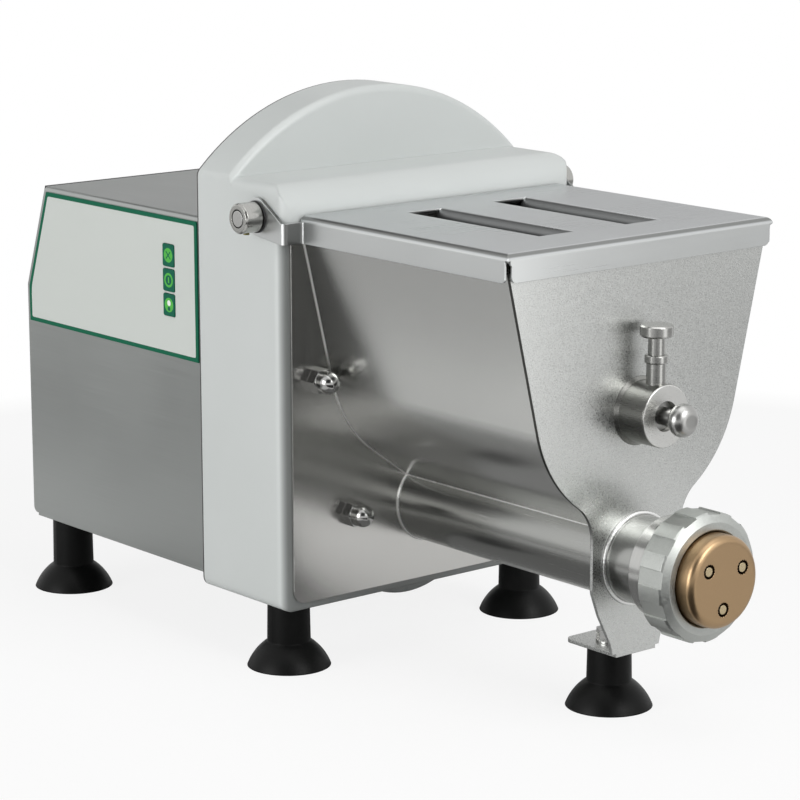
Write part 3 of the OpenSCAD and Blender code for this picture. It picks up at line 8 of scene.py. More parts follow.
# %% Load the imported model
import bpy
import math
import numpy as np
from mathutils import Matrix, Vector


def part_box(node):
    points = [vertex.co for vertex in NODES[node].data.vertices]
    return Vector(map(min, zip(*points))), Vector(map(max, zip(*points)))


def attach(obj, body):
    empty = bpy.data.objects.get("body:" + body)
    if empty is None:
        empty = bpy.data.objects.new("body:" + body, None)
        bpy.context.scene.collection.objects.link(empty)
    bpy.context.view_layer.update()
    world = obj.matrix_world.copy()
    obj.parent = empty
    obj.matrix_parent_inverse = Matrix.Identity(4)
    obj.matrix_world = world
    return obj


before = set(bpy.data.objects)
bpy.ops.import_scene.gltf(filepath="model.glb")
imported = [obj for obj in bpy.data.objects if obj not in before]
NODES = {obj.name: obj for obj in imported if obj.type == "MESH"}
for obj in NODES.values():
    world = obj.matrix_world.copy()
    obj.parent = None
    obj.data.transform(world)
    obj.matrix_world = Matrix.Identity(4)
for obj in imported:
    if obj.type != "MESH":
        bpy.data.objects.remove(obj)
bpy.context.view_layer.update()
MM = 0.001

# %% [markdown]
# ## The camera
# A long lens from the front left, a little above the lid, keeps the machine's upright edges nearly parallel.
# A camera could be placed by hand, or turned by a constraint that tracks an empty. Here its place is a point
# in the model's frame and its turn is worked out from the direction it looks in, so each run gives the same.

# %% Camera
CAMERA_AT = Vector((-1.1046, -1.31995, 0.5160))
LOOK_AZIMUTH, LOOK_ELEVATION, ROLL = -39.64, 12.23, -0.14
FOCAL_PIXELS, FRAME_PIXELS, SENSOR_MM = 3047.2, 800, 36.0
FARTHEST = 20  # metres, as far as the camera sees


def direction(azimuth, elevation):
    """Unit vector (sin a cos e, -cos a cos e, sin e) away from the object; azimuth 0 is -Y and 90 is +X."""
    a, e = math.radians(azimuth), math.radians(elevation)
    return Vector((math.sin(a) * math.cos(e), -math.cos(a) * math.cos(e), math.sin(e)))


back = direction(LOOK_AZIMUTH, LOOK_ELEVATION)
right = Vector((0, 0, 1)).cross(back).normalized()
up = back.cross(right)
roll = math.radians(ROLL)
right, up = right * math.cos(roll) + up * math.sin(roll), up * math.cos(roll) - right * math.sin(roll)
lens = bpy.data.cameras.new("camera")
lens.sensor_width = SENSOR_MM
lens.lens = SENSOR_MM * FOCAL_PIXELS / FRAME_PIXELS
lens.clip_end = FARTHEST
camera = bpy.data.objects.new("camera", lens)
camera.matrix_world = Matrix.Translation(CAMERA_AT) @ Matrix((right, up, back)).transposed().to_4x4()
bpy.context.scene.collection.objects.link(camera)
bpy.context.scene.camera = camera
print("lens", round(lens.lens, 1), "mm")

# %% [markdown]
# ## Small helpers for nodes
# A material is a short recipe: a Principled BSDF whose fixed numbers sit on its own sockets, and a few
# procedural nodes for what changes over the surface. The nodes could be dragged together by hand in the
# Shader Editor. Written as code, one line stands for a node with its links, and a recipe can be read.


# %% Helpers: nodes and links
def add(tree, kind, **settings):
    """Adds a node, sets its properties, and returns it."""
    node = tree.nodes.new(kind)
    for name, value in settings.items():
        setattr(node, name, value)
    return node


def wire(tree, source, target):
    """Gives an input socket what it reads: another node's output, or a plain number, vector or colour."""
    if isinstance(source, bpy.types.NodeSocket):
        tree.links.new(source, target)
    else:
        target.default_value = source


def maths(tree, operation, *values):
    """One Math node; the values are sockets or numbers."""
    node = add(tree, "ShaderNodeMath", operation=operation)
    for socket, value in zip(node.inputs, values):
        wire(tree, value, socket)
    return node.outputs[0]


def product(tree, *values):
    """All the values multiplied; of masks, 1 where every one of them is 1."""
    total = values[0]
    for value in values[1:]:
        total = maths(tree, "MULTIPLY", total, value)
    return total


def ramp(tree, value, low, high, to_low=0.0, to_high=1.0):
    """to_low + (to_high - to_low) (value - low) / (high - low), held at both ends."""
    node = add(tree, "ShaderNodeMapRange")
    for name, number in zip(("Value", "From Min", "From Max", "To Min", "To Max"),
                            (value, low, high, to_low, to_high)):
        wire(tree, number, node.inputs[name])
    return node.outputs["Result"]


def mix_colour(tree, factor, a, b):
    """(1 - factor) a + factor b, where a and b are (red, green, blue) or sockets."""
    node = add(tree, "ShaderNodeMix", data_type="RGBA")
    # the node has an A and a B for each data type, and these are the ones for colour
    for socket, value in zip((node.inputs[0], node.inputs[6], node.inputs[7]), (factor, a, b)):
        wire(tree, (*value, 1.0) if isinstance(value, tuple) else value, socket)
    return node.outputs[2]


# %% Helpers: places on a surface
def coordinates(tree, output):
    """One output of a Texture Coordinate node: "Object" is the point in metres, "Normal" the facing."""
    return add(tree, "ShaderNodeTexCoord").outputs[output]


def split_axes(tree, output):
    """The X, Y and Z sockets of such an output."""
    split = add(tree, "ShaderNodeSeparateXYZ")
    wire(tree, coordinates(tree, output), split.inputs[0])
    return tuple(split.outputs)


def reach(tree, a, b):
    """sqrt(a^2 + b^2), the distance from zero in a plane."""
    return maths(tree, "SQRT", maths(tree, "ADD", product(tree, a, a), product(tree, b, b)))


def noise(tree, vector, scale, detail=2.0):
    """Smooth noise from 0 to 1, with about scale lumps a metre; detail adds finer ones on top."""
    node = add(tree, "ShaderNodeTexNoise")
    for name, value in (("Vector", vector), ("Scale", scale), ("Detail", detail)):
        wire(tree, value, node.inputs[name])
    return node.outputs["Fac"]


# %% Helper: start a node group
NUMBER, VECTOR = "NodeSocketFloat", "NodeSocketVector"


def new_group(name, inputs, outputs):
    """An empty shader node group, with its input and output nodes.

    The inputs are {name: (socket type, default)}, and the outputs {name: socket type}.
    """
    group = bpy.data.node_groups.new(name, "ShaderNodeTree")
    for label, (kind, default) in inputs.items():
        group.interface.new_socket(label, in_out="INPUT", socket_type=kind).default_value = default
    for label, kind in outputs.items():
        group.interface.new_socket(label, in_out="OUTPUT", socket_type=kind)
    return group, add(group, "NodeGroupInput").outputs, add(group, "NodeGroupOutput").inputs


# %% [markdown]
# ## Rolled streaks
# Sheet that comes off the rollers has faint streaks along its rolling direction, and turned pieces have them
# round their axis. They could be a bitmap, but noise that is stretched a hundred times one way stays sharp
# from near by and has no seam. A second, slow noise stands for the cloudy unevenness of a large sheet.

# %% Group: rolled streaks
ROLLED, given, result = new_group(
    "rolled_streaks",
    {"Stretch": (VECTOR, (1.0, 1.0, 1.0)), "Scale": (NUMBER, 900.0), "Cloud": (NUMBER, 14.0)},
    {"Streak": NUMBER, "Cloud": NUMBER})
point = coordinates(ROLLED, "Object")
stretched = add(ROLLED, "ShaderNodeVectorMath", operation="MULTIPLY")
wire(ROLLED, point, stretched.inputs[0])
wire(ROLLED, given["Stretch"], stretched.inputs[1])
wire(ROLLED, noise(ROLLED, stretched.outputs[0], given["Scale"], detail=3.0), result["Streak"])
wire(ROLLED, noise(ROLLED, point, given["Cloud"]), result["Cloud"])
print(ROLLED.name, len(ROLLED.nodes), "nodes")

# %% [markdown]
# ## Blasted dents
# Bead-blasted steel is covered in tiny dents, each of which mirrors the lights on its own, so it glitters.
# The cells of a Voronoi texture are such dents: the distance to a cell's middle is the height, and the
# cell's random colour says how bright that one dent is.

# %% Group: blasted dents
BLASTED, given, result = new_group(
    "blasted_dents", {"Scale": (NUMBER, 900.0)}, {"Height": NUMBER, "Fleck": NUMBER})
GRIT = 1.7  # the grit between the dents is this much finer than they are
point = coordinates(BLASTED, "Object")
dents = add(BLASTED, "ShaderNodeTexVoronoi", feature="F1")
wire(BLASTED, point, dents.inputs["Vector"])
wire(BLASTED, given["Scale"], dents.inputs["Scale"])
grit = noise(BLASTED, point, maths(BLASTED, "MULTIPLY", given["Scale"], GRIT))
wire(BLASTED, maths(BLASTED, "ADD", dents.outputs["Distance"], grit), result["Height"])
channels = add(BLASTED, "ShaderNodeSeparateColor")
wire(BLASTED, dents.outputs["Color"], channels.inputs[0])
wire(BLASTED, channels.outputs[0], result["Fleck"])
print(BLASTED.name, len(BLASTED.nodes), "nodes")

# %% [markdown]
# ## Rounded edges and even grain
# No real edge is a sharp line. A Bevel modifier would round the mesh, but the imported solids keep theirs, so
# the Bevel node only turns the normal as a small rounding would, and edges catch the light. Paint, rubber
# and plastic have an even grain, which is plain noise.

# %% Groups: rounded edges, even grain
BEVEL_SAMPLES = 6
ROUNDED, given, result = new_group("rounded_edges", {"Radius": (NUMBER, 0.0006)}, {"Normal": VECTOR})
bevel = add(ROUNDED, "ShaderNodeBevel", samples=BEVEL_SAMPLES)
wire(ROUNDED, given["Radius"], bevel.inputs["Radius"])
wire(ROUNDED, bevel.outputs["Normal"], result["Normal"])

GRAIN, given, result = new_group("even_grain", {"Scale": (NUMBER, 1200.0)}, {"Grain": NUMBER})
wire(GRAIN, noise(GRAIN, coordinates(GRAIN, "Object"), given["Scale"]), result["Grain"])
print(ROUNDED.name, len(ROUNDED.nodes), "nodes,", GRAIN.name, len(GRAIN.nodes), "nodes")


# %% Helpers: start a material, bump it, lay a colour over it
def effect(tree, group, **values):
    """Places a group in a material and gives its inputs their values; returns its outputs."""
    node = add(tree, "ShaderNodeGroup", node_tree=group)
    for label, value in values.items():
        wire(tree, value, node.inputs[label])
    return node.outputs


def recipe(made):
    """A material's node tree and its shader."""
    return made.node_tree, made.node_tree.nodes["Principled BSDF"]


def bare_material(name):
    """A new material with nothing but its shader; returns (material, tree, shader)."""
    made = bpy.data.materials.new(name)
    made.use_nodes = True
    return made, *recipe(made)


def material(name, colour, rough, metal=0.0, edge=0.6, **sockets):
    """A material whose edges are rounded by edge millimetres; returns (material, tree, shader)."""
    made, tree, shader = bare_material(name)
    fixed = {"Base Color": (*colour, 1.0), "Roughness": rough, "Metallic": metal}
    fixed.update({label.replace("_", " "): value for label, value in sockets.items()})
    for label, value in fixed.items():
        wire(tree, value, shader.inputs[label])
    wire(tree, effect(tree, ROUNDED, Radius=edge * MM)["Normal"], shader.inputs["Normal"])
    return made, tree, shader


def bump(tree, shader, height, strength, depth):
    """Bump from a height socket on top of the rounded edges; depth is in millimetres."""
    node = add(tree, "ShaderNodeBump")
    rounded = shader.inputs["Normal"].links[0].from_socket
    for name, value in (("Strength", strength), ("Distance", depth * MM), ("Height", height),
                        ("Normal", rounded)):
        wire(tree, value, node.inputs[name])
    wire(tree, node.outputs["Normal"], shader.inputs["Normal"])


def lay_over(tree, shader, mask, colour):
    """Shows a colour where the mask is 1, and what the surface had before where it is 0."""
    surface = shader.inputs["Base Color"]
    below = surface.links[0].from_socket if surface.is_linked else tuple(surface.default_value[:3])
    wire(tree, mix_colour(tree, mask, below, colour), surface)


# %% [markdown]
# ## Enamel on the tower
# The tower is sprayed with satin light grey enamel. One even colour would look like plastic, because sprayed
# paint dries with a faint orange peel and a slightly uneven gloss: a fine grain feeds the bump, and a slow
# one the colour and the roughness. Two masks darken the paint: a dark line along the tower's rear edge,
# thinner than a solid could be, and painted shade on its front rounding beside the hopper's tall back plate.

# %% Enamel
NOISE_SPAN = (0.3, 0.7)  # noise lies mostly between these values
PEEL_SCALE, CLOUD_SCALE = 420.0, 9.0
PAINT, DULL_PAINT, BRIGHT_PAINT = (0.60, 0.625, 0.615), (0.585, 0.612, 0.60), (0.61, 0.635, 0.625)
PAINTED_SHADE, DARK_REAR_LINE = (0.20, 0.21, 0.205), (0.03, 0.03, 0.03)
DARK_LINE_WIDTH = 1.0 * MM
FORWARDS = (-0.45, -0.95)  # the normal's Y from which a face looks forwards, a little and fully
HALF_TURNED = 0.5  # the normal's Y over which a face looks to the rear, or under it sideways


def enamel():
    """Satin paint with orange peel, painted shade beside the back plate and a dark line along its rear edge.
    """
    made, tree, shader = material("tower_enamel", PAINT, rough=0.38, edge=2.2,
                                  Coat_Weight=0.15, Coat_Roughness=0.2)
    clouds = effect(tree, GRAIN, Scale=CLOUD_SCALE)["Grain"]
    wire(tree, ramp(tree, clouds, *NOISE_SPAN, to_low=0.34, to_high=0.44), shader.inputs["Roughness"])
    uneven = mix_colour(tree, ramp(tree, clouds, *NOISE_SPAN), DULL_PAINT, BRIGHT_PAINT)
    wire(tree, uneven, shader.inputs["Base Color"])
    _, y, z = split_axes(tree, "Object")
    _, facing_y, _ = split_axes(tree, "Normal")
    # painted shade: paint that faces forwards below the back plate's top is darkened, standing in for the
    # shade there
    beside_plate = maths(tree, "LESS_THAN", z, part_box("hopper_back_plate")[1].z)
    lay_over(tree, shader, product(tree, beside_plate, ramp(tree, facing_y, *FORWARDS)), PAINTED_SHADE)
    # a dark line on the tower's last millimetre at the rear, on faces that don't look backwards
    at_rear = maths(tree, "GREATER_THAN", y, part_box("tower_housing")[1].y - DARK_LINE_WIDTH)
    not_behind = maths(tree, "LESS_THAN", facing_y, HALF_TURNED)
    lay_over(tree, shader, product(tree, at_rear, not_behind), DARK_REAR_LINE)
    bump(tree, shader, effect(tree, GRAIN, Scale=PEEL_SCALE)["Grain"], strength=0.12, depth=0.12)
    return made


ENAMEL = enamel()
print("made", ENAMEL.name)

# %% [markdown]
# ## Sheet and turned steel
# The casing, lid, hopper and barrel are stainless sheet and tube, and the knobs and shafts are turned on a
# lathe. Both are the same metal with another direction of streaks, so one recipe makes them all. Plain grey
# metal would look like a mirror: the streaks change the gloss a little from place to place, and each finish
# has its own colour, gloss and depth of streaks.

# %% Rolled and turned steel
ALONG_X, ALONG_Y, ALONG_Z = (0.01, 1.0, 1.0), (1.0, 0.01, 1.0), (1.0, 1.0, 0.01)
AROUND_X, AROUND_Y, AROUND_Z = (1.0, 0.04, 0.04), (0.04, 1.0, 0.04), (0.04, 0.04, 1.0)
EVENLY = (1.0, 1.0, 1.0)
METAL_EDGE = 0.5  # mm
DULLER, BRIGHTER = 0.6, 0.4  # shares of a finish's contrast below and above its colour
SUM_SPAN = (0.7, 1.3)  # and two noises added lie between these


def rolled_steel(name, colour, rough, stretch, scale=900.0, depth=0.02, spread=0.08, contrast=0.15):
    """Metal with streaks: the noise is read at (x, y, z) times stretch, so it runs along the smallest one."""
    made, tree, shader = material(name, colour, rough, metal=1.0, edge=METAL_EDGE)
    grain = effect(tree, ROLLED, Stretch=stretch, Scale=scale)
    dull = tuple(c * (1 - contrast * DULLER) for c in colour)
    bright = tuple(min(1.0, c * (1 + contrast * BRIGHTER)) for c in colour)
    wire(tree, mix_colour(tree, grain["Streak"], dull, bright), shader.inputs["Base Color"])
    both = maths(tree, "ADD", grain["Streak"], grain["Cloud"])
    uneven = ramp(tree, both, *SUM_SPAN, to_low=rough - spread / 2, to_high=rough + spread / 2)
    wire(tree, uneven, shader.inputs["Roughness"])
    bump(tree, shader, grain["Streak"], strength=0.25, depth=depth)
    return made


# %% Steel sheet and tube
CASING = rolled_steel("casing_sheet", (0.385, 0.40, 0.39), rough=0.34, stretch=ALONG_Y,
                      scale=1500.0, depth=0.008, contrast=0.10)
TROUGH = rolled_steel("trough_sheet", (0.66, 0.665, 0.645), rough=0.24, stretch=ALONG_Y,
                      scale=1800.0, depth=0.0003, spread=0.02, contrast=0.03)
POLISHED_PLATE = rolled_steel("polished_plate", (0.64, 0.635, 0.615), rough=0.20, stretch=ALONG_Z,
                              scale=1800.0, depth=0.003, spread=0.05, contrast=0.05)
TUBE = rolled_steel("tube_steel", (0.37, 0.375, 0.36), rough=0.25, stretch=ALONG_Y,
                    scale=1800.0, depth=0.004, contrast=0.06)
print("made", [finish.name for finish in (CASING, TROUGH, POLISHED_PLATE, TUBE)])

# %% Turned and plated steel
TURNED = rolled_steel("turned_steel", (0.52, 0.52, 0.505), rough=0.21, stretch=AROUND_Y,
                      scale=2500.0, depth=0.012, contrast=0.12)
BALL = rolled_steel("ball_steel", (0.38, 0.38, 0.37), rough=0.30, stretch=AROUND_Y,
                    scale=2500.0, depth=0.004, contrast=0.1)
PULL = rolled_steel("pull_steel", (0.40, 0.40, 0.385), rough=0.24, stretch=AROUND_Z,
                    scale=2500.0, depth=0.008, contrast=0.2)
MIRRORED = rolled_steel("polished_steel", (0.42, 0.42, 0.41), rough=0.15, stretch=EVENLY,
                        depth=0.003, spread=0.04, contrast=0.06)
ZINC = rolled_steel("zinc_plate", (0.55, 0.56, 0.57), rough=0.35, stretch=EVENLY, depth=0.01)
OILED = rolled_steel("oiled_steel", (0.38, 0.38, 0.37), rough=0.28, stretch=(1.0, 4.0, 1.0))
print("made", [finish.name for finish in (TURNED, BALL, PULL, MIRRORED, ZINC, OILED)])

# %% [markdown]
# ## Bronze and brass
# The die is bronze, which leaves pasta rough, and its inserts and the knobs' set screws are brass. They are
# turned as the steel is, so the same recipe serves, with streaks in no direction: the pieces are too small
# for a streak to show. Bronze is redder and duller than brass, and a screw's head is dark with oil.

# %% Bronze and brass
BRONZE = rolled_steel("bronze", (0.38, 0.26, 0.148), rough=0.33, stretch=EVENLY, scale=1500.0, depth=0.004)
BRASS = rolled_steel("brass", (0.50, 0.41, 0.26), rough=0.28, stretch=EVENLY, scale=1500.0, depth=0.004)
DARK_BRASS = rolled_steel("dark_brass", (0.17, 0.155, 0.065), rough=0.35, stretch=EVENLY,
                          scale=1500.0, depth=0.004)
print("made", [finish.name for finish in (BRONZE, BRASS, DARK_BRASS)])

# %% [markdown]
# ## Blasted and cast metal
# The hopper's front plate is bead-blasted. The ring nut is a steel casting, and the bearing housing, the gear
# plate and the gearhead are cast iron. All are rough in every direction, so they use the dents, larger ones
# for iron. The front plate's edges carry a painted dark reflection: a mask takes the faces that look
# sideways, above its neck.

# %% Blasted steel and castings
DENT_SHADE = 0.88  # the darkest dent's share of the colour
DENT_GLOSS, DENT_DULL = 0.06, 0.1  # roughness below and above a finish's own


def blasted_steel(name, colour, rough, scale=800.0, depth=0.12, strength=0.5):
    """Small dents that glitter, over a soft sheen: each dent has its own gloss and brightness."""
    made, tree, shader = material(name, colour, rough, metal=1.0, edge=METAL_EDGE)
    dents = effect(tree, BLASTED, Scale=scale)
    uneven = ramp(tree, dents["Fleck"], 0.0, 1.0, to_low=rough - DENT_GLOSS, to_high=rough + DENT_DULL)
    wire(tree, uneven, shader.inputs["Roughness"])
    dull = tuple(c * DENT_SHADE for c in colour)
    wire(tree, mix_colour(tree, dents["Fleck"], dull, colour), shader.inputs["Base Color"])
    bump(tree, shader, dents["Height"], strength, depth)
    return made


CAST = blasted_steel("cast_steel", (0.46, 0.475, 0.455), rough=0.42, scale=1700.0, depth=0.03, strength=0.3)
CAST_IRON = blasted_steel("cast_iron", (0.22, 0.225, 0.23), rough=0.5, scale=600.0, depth=0.15)
print("made", CAST.name, CAST_IRON.name)

# %% Front plate
NECK_LOW, NECK_HIGH = 96 * MM, 118 * MM
EDGE_DARK_REFLECTION = (0.07, 0.07, 0.065)


def plate_with_edge_reflection():
    """Blasted plate with a painted dark reflection on its edges, which face neither forwards nor backwards,
    above the neck.
    """
    made = blasted_steel("blasted_plate", (0.62, 0.63, 0.615), rough=0.30,
                         scale=2600.0, depth=0.026, strength=0.4)
    tree, shader = recipe(made)
    z = split_axes(tree, "Object")[2]
    facing_y = split_axes(tree, "Normal")[1]
    sideways = maths(tree, "LESS_THAN", maths(tree, "ABSOLUTE", facing_y), HALF_TURNED)
    # painted dark reflection on the plate's edges that look sideways, above the neck
    lay_over(tree, shader, product(tree, sideways, ramp(tree, z, NECK_LOW, NECK_HIGH)), EDGE_DARK_REFLECTION)
    return made


FRONT_PLATE = plate_with_edge_reflection()
print("made", FRONT_PLATE.name)

# %% [markdown]
# ## Lid
# The lid is one folded sheet. Its skirts are painted brighter than its top as a painted reflection, and its
# bends and the jogs of its two arms darker as a painted dark reflection. The flanges that are bent down
# inside the slots are dull, because no polishing wheel gets in there, and painted darker as shade. It could
# be cut into several materials, but the fold lines would then be hard. Masks on the normal and on the height
# fade from one to the next instead.

# %% Lid steel
LID_TOP, LID_HALF = 262.2 * MM, 96.5 * MM  # without the arms, which stand higher and wider
SLOTS_HALF_WIDTH, SLOTS_FRONT = 47 * MM, 15 * MM  # from the middle line, and from the lid's front edge
LIT_SKIRT, BEND_DARK_REFLECTION, SLOT_SHADE = (0.615, 0.63, 0.625), (0.24, 0.245, 0.24), (0.20, 0.205, 0.205)
FLANGE_ROUGH = 0.42
FLANGE_FROM, FLANGE_TO = LID_TOP - 0.2 * MM, LID_TOP - 1.2 * MM
# the normal's Z or Y where each mask is 0 and where it is 1
UPRIGHT, BEND_LOW, BEND_HIGH = (0.3, 0.1), (0.35, 0.55), (0.97, 0.88)
JOG, NOT_UNDERSIDE = (0.5, 0.8), (-0.8, -0.4)


def lid_steel():
    """Rolled sheet with painted reflections, bright on the skirts and dark on bends and jogs, and painted
    shade in the dull slots.
    """
    made = rolled_steel("lid_sheet", (0.54, 0.555, 0.56), rough=0.30, stretch=ALONG_X,
                        scale=1500.0, depth=0.0006, contrast=0.08)
    tree, shader = recipe(made)
    x, y, z = split_axes(tree, "Object")
    _, facing_y, facing_z = split_axes(tree, "Normal")
    aside = maths(tree, "ABSOLUTE", x)
    # painted reflection: faces that stand upright are brighter than the top
    lay_over(tree, shader, ramp(tree, maths(tree, "ABSOLUTE", facing_z), *UPRIGHT), LIT_SKIRT)
    bends = product(tree, ramp(tree, facing_z, *BEND_LOW), ramp(tree, facing_z, *BEND_HIGH))
    on_arms = maths(tree, "GREATER_THAN", aside, LID_HALF)
    jogs = product(tree, on_arms, ramp(tree, maths(tree, "ABSOLUTE", facing_y), *JOG))
    # painted dark reflection on the bends and on the jogs of the arms
    lay_over(tree, shader, maths(tree, "MAXIMUM", bends, jogs), BEND_DARK_REFLECTION)
    lowered = ramp(tree, z, FLANGE_FROM, FLANGE_TO)
    between = maths(tree, "LESS_THAN", aside, SLOTS_HALF_WIDTH)
    behind = maths(tree, "GREATER_THAN", y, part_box("lid")[0].y + SLOTS_FRONT)
    flanges = product(tree, lowered, between, behind, ramp(tree, facing_z, *NOT_UNDERSIDE))
    # painted shade on the flanges inside the slots
    lay_over(tree, shader, flanges, SLOT_SHADE)
    gloss = shader.inputs["Roughness"].links[0].from_socket
    duller = maths(tree, "MAXIMUM", gloss, product(tree, flanges, FLANGE_ROUGH))
    wire(tree, duller, shader.inputs["Roughness"])
    return made


LID = lid_steel()
print("made", LID.name)

# %% [markdown]
# ## Hinge knobs and pin boss
# The hinge knobs are bright turned steel, and round the shaft's end in each face runs a groove. Its shade is
# painted: it could be a ring of its own, but a mask darkens the points within a radius of the hinge's axis.
# The pin boss has painted light: a mask on Y paints its tube side dark as shade and its front face bright as
# a reflection.

# %% Hinge knobs
HINGE_RADIUS, GROOVE_WIDTH = 4.5 * MM, 0.75 * MM
GROOVE_SHADE = (0.02, 0.02, 0.02)


def groove_shaded_steel():
    """Turned steel with painted shade where sqrt(y^2 + z^2) about the hinge is less than the groove's outer
    radius.
    """
    made = rolled_steel("knob_steel", (0.44, 0.44, 0.42), rough=0.17, stretch=AROUND_X,
                        scale=1500.0, depth=0.002, contrast=0.2)
    tree, shader = recipe(made)
    _, y, z = split_axes(tree, "Object")
    axis = (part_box("hinge_knobs")[0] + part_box("hinge_knobs")[1]) / 2
    away = reach(tree, maths(tree, "SUBTRACT", y, axis.y), maths(tree, "SUBTRACT", z, axis.z))
    # painted shade in the groove round the shaft's end
    lay_over(tree, shader, maths(tree, "LESS_THAN", away, HINGE_RADIUS + GROOVE_WIDTH), GROOVE_SHADE)
    return made


KNOB = groove_shaded_steel()
print("made", KNOB.name)

# %% Pin boss
LIT_FACE_DEPTH = 0.3 * MM  # the painted bright face reaches this far back


def face_lit_steel(name, node, side, face, rough):
    """Turned steel whose side is painted dark as shade and whose front face is painted bright as a
    reflection.
    """
    made = rolled_steel(name, side, rough, stretch=(1.0, 0.04, 1.0),
                        scale=1500.0, depth=0.004, contrast=0.06)
    tree, shader = recipe(made)
    y = split_axes(tree, "Object")[1]
    lay_over(tree, shader, maths(tree, "LESS_THAN", y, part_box(node)[0].y + LIT_FACE_DEPTH), face)
    return made


# painted light: the dark side colour is painted shade, the bright face colour a painted reflection
BOSS = face_lit_steel("boss_steel", "pin_boss", side=(0.29, 0.29, 0.275), face=(0.70, 0.70, 0.68), rough=0.30)
print("made", BOSS.name)

# %% [markdown]
# ## Rubber, plastics and paint
# The feet are black rubber, the washers and switches black plastic, and the motor, the rear cover and the
# circuit board have a plain coat. None is metal, so one recipe serves: a colour with a fine even grain, and a
# gloss that follows it. Rubber is matt, so its specular level is low as well.

# %% Rubber, plastics and paint without metal
GRAIN_LIGHT, GRAIN_GLOSS = 1.35, 0.05  # the lightest grain's share of the colour; roughness either way


def moulded(name, colour, rough, grain=1200.0, depth=0.03, edge=0.6, specular=0.5):
    """Moulded or coated surface with a fine even texture."""
    made, tree, shader = material(name, colour, rough, edge=edge, Specular_IOR_Level=specular)
    texture = effect(tree, GRAIN, Scale=grain)["Grain"]
    lighter = tuple(c * GRAIN_LIGHT for c in colour)
    wire(tree, mix_colour(tree, texture, colour, lighter), shader.inputs["Base Color"])
    uneven = ramp(tree, texture, *NOISE_SPAN, to_low=rough - GRAIN_GLOSS, to_high=rough + GRAIN_GLOSS)
    wire(tree, uneven, shader.inputs["Roughness"])
    bump(tree, shader, texture, strength=0.2, depth=depth)
    return made


RUBBER = moulded("black_rubber", (0.0028, 0.0030, 0.0029), rough=0.42, depth=0.012, edge=0.9, specular=0.14)
BLACK_PLASTIC = moulded("black_plastic", (0.012, 0.012, 0.012), rough=0.4)
COVER_PAINT = moulded("cover_paint", (0.03, 0.03, 0.03), rough=0.45, grain=2500.0)
MOTOR_PAINT = moulded("motor_paint", (0.02, 0.02, 0.022), rough=0.35)
BOARD = moulded("board_lacquer", (0.02, 0.10, 0.05), rough=0.3)
print("made", [finish.name for finish in (RUBBER, BLACK_PLASTIC, COVER_PAINT, MOTOR_PAINT, BOARD)])

# %% [markdown]
# ## Keys
# Three green push keys carry signs in lime. A sign could be a thin mesh or a decal picture. Here it is drawn
# with sums on the distance from the key's middle, so it stays sharp at any size and moves with the key.

# %% Key signs
KEY_GREEN, LIME, WHITE = (0.002, 0.095, 0.055), (0.09, 0.46, 0.07), (0.85, 0.88, 0.85)
SIGN_RADIUS = 4.2 * MM
CROSS_RADIUS, STROKE_HALF = 3.1 * MM, 0.55 * MM
RING_HOLE, BAR_HALF_WIDTH, BAR_HALF_HEIGHT = 2.9 * MM, 0.6 * MM, 1.7 * MM
NOTCH_RADIUS, NOTCH_AT = 1.3 * MM, -2.2 * MM
DOT_RADIUS, DOT_AT = 1.7 * MM, 1.1 * MM


def disc(tree, y, z, radius, at=0.0):
    """1 where sqrt(y^2 + (z - at)^2) is less than the radius."""
    return maths(tree, "LESS_THAN", reach(tree, y, maths(tree, "SUBTRACT", z, at)), radius)


def band(tree, value, half):
    """1 where a value lies within half of zero."""
    return maths(tree, "LESS_THAN", maths(tree, "ABSOLUTE", value), half)


def cross_sign(tree, y, z):
    """A disc with a diagonal cross cut out: the strokes are where |y + z| or |y - z| is small."""
    strokes = maths(tree, "MAXIMUM", band(tree, maths(tree, "ADD", y, z), STROKE_HALF),
                    band(tree, maths(tree, "SUBTRACT", y, z), STROKE_HALF))
    cut = product(tree, strokes, disc(tree, y, z, CROSS_RADIUS))
    return maths(tree, "SUBTRACT", disc(tree, y, z, SIGN_RADIUS), cut)


def ring_sign(tree, y, z):
    """A ring, which is a disc less a smaller one, with an upright bar in it."""
    bar = product(tree, band(tree, y, BAR_HALF_WIDTH), band(tree, z, BAR_HALF_HEIGHT))
    ring = maths(tree, "SUBTRACT", disc(tree, y, z, SIGN_RADIUS), disc(tree, y, z, RING_HOLE))
    return maths(tree, "ADD", ring, bar)


def dot_sign(tree, y, z):
    """A disc with a notch; its white dot is laid over it afterwards."""
    return maths(tree, "SUBTRACT", disc(tree, y, z, SIGN_RADIUS), disc(tree, y, z, NOTCH_RADIUS, NOTCH_AT))


# %% Key films
def key_film(name, sign):
    """A green key with its sign in lime round the key's middle."""
    made = moulded(f"{name}_film", KEY_GREEN, rough=0.45, grain=3000.0, depth=0.01, edge=0.3, specular=0.15)
    tree, shader = recipe(made)
    middle = (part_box(name)[0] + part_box(name)[1]) / 2
    _, y, z = split_axes(tree, "Object")
    y, z = maths(tree, "SUBTRACT", y, middle.y), maths(tree, "SUBTRACT", z, middle.z)
    lay_over(tree, shader, sign(tree, y, z), LIME)
    if sign is dot_sign:
        lay_over(tree, shader, disc(tree, y, z, DOT_RADIUS, DOT_AT), WHITE)
    return made


KEYS = {name: key_film(name, sign) for name, sign in
        (("key_upper", cross_sign), ("key_middle", ring_sign), ("key_lower", dot_sign))}
print("made", [finish.name for finish in KEYS.values()])

# %% [markdown]
# ## The panel's film
# The panel is one printed film: a pale field with a thin green line that follows its outline. A picture
# could be stretched over it, but the line would blur. It is drawn from the distance to the outline's edges,
# which are the same lines that cut the panel's solid, and a smooth minimum rounds its corners.

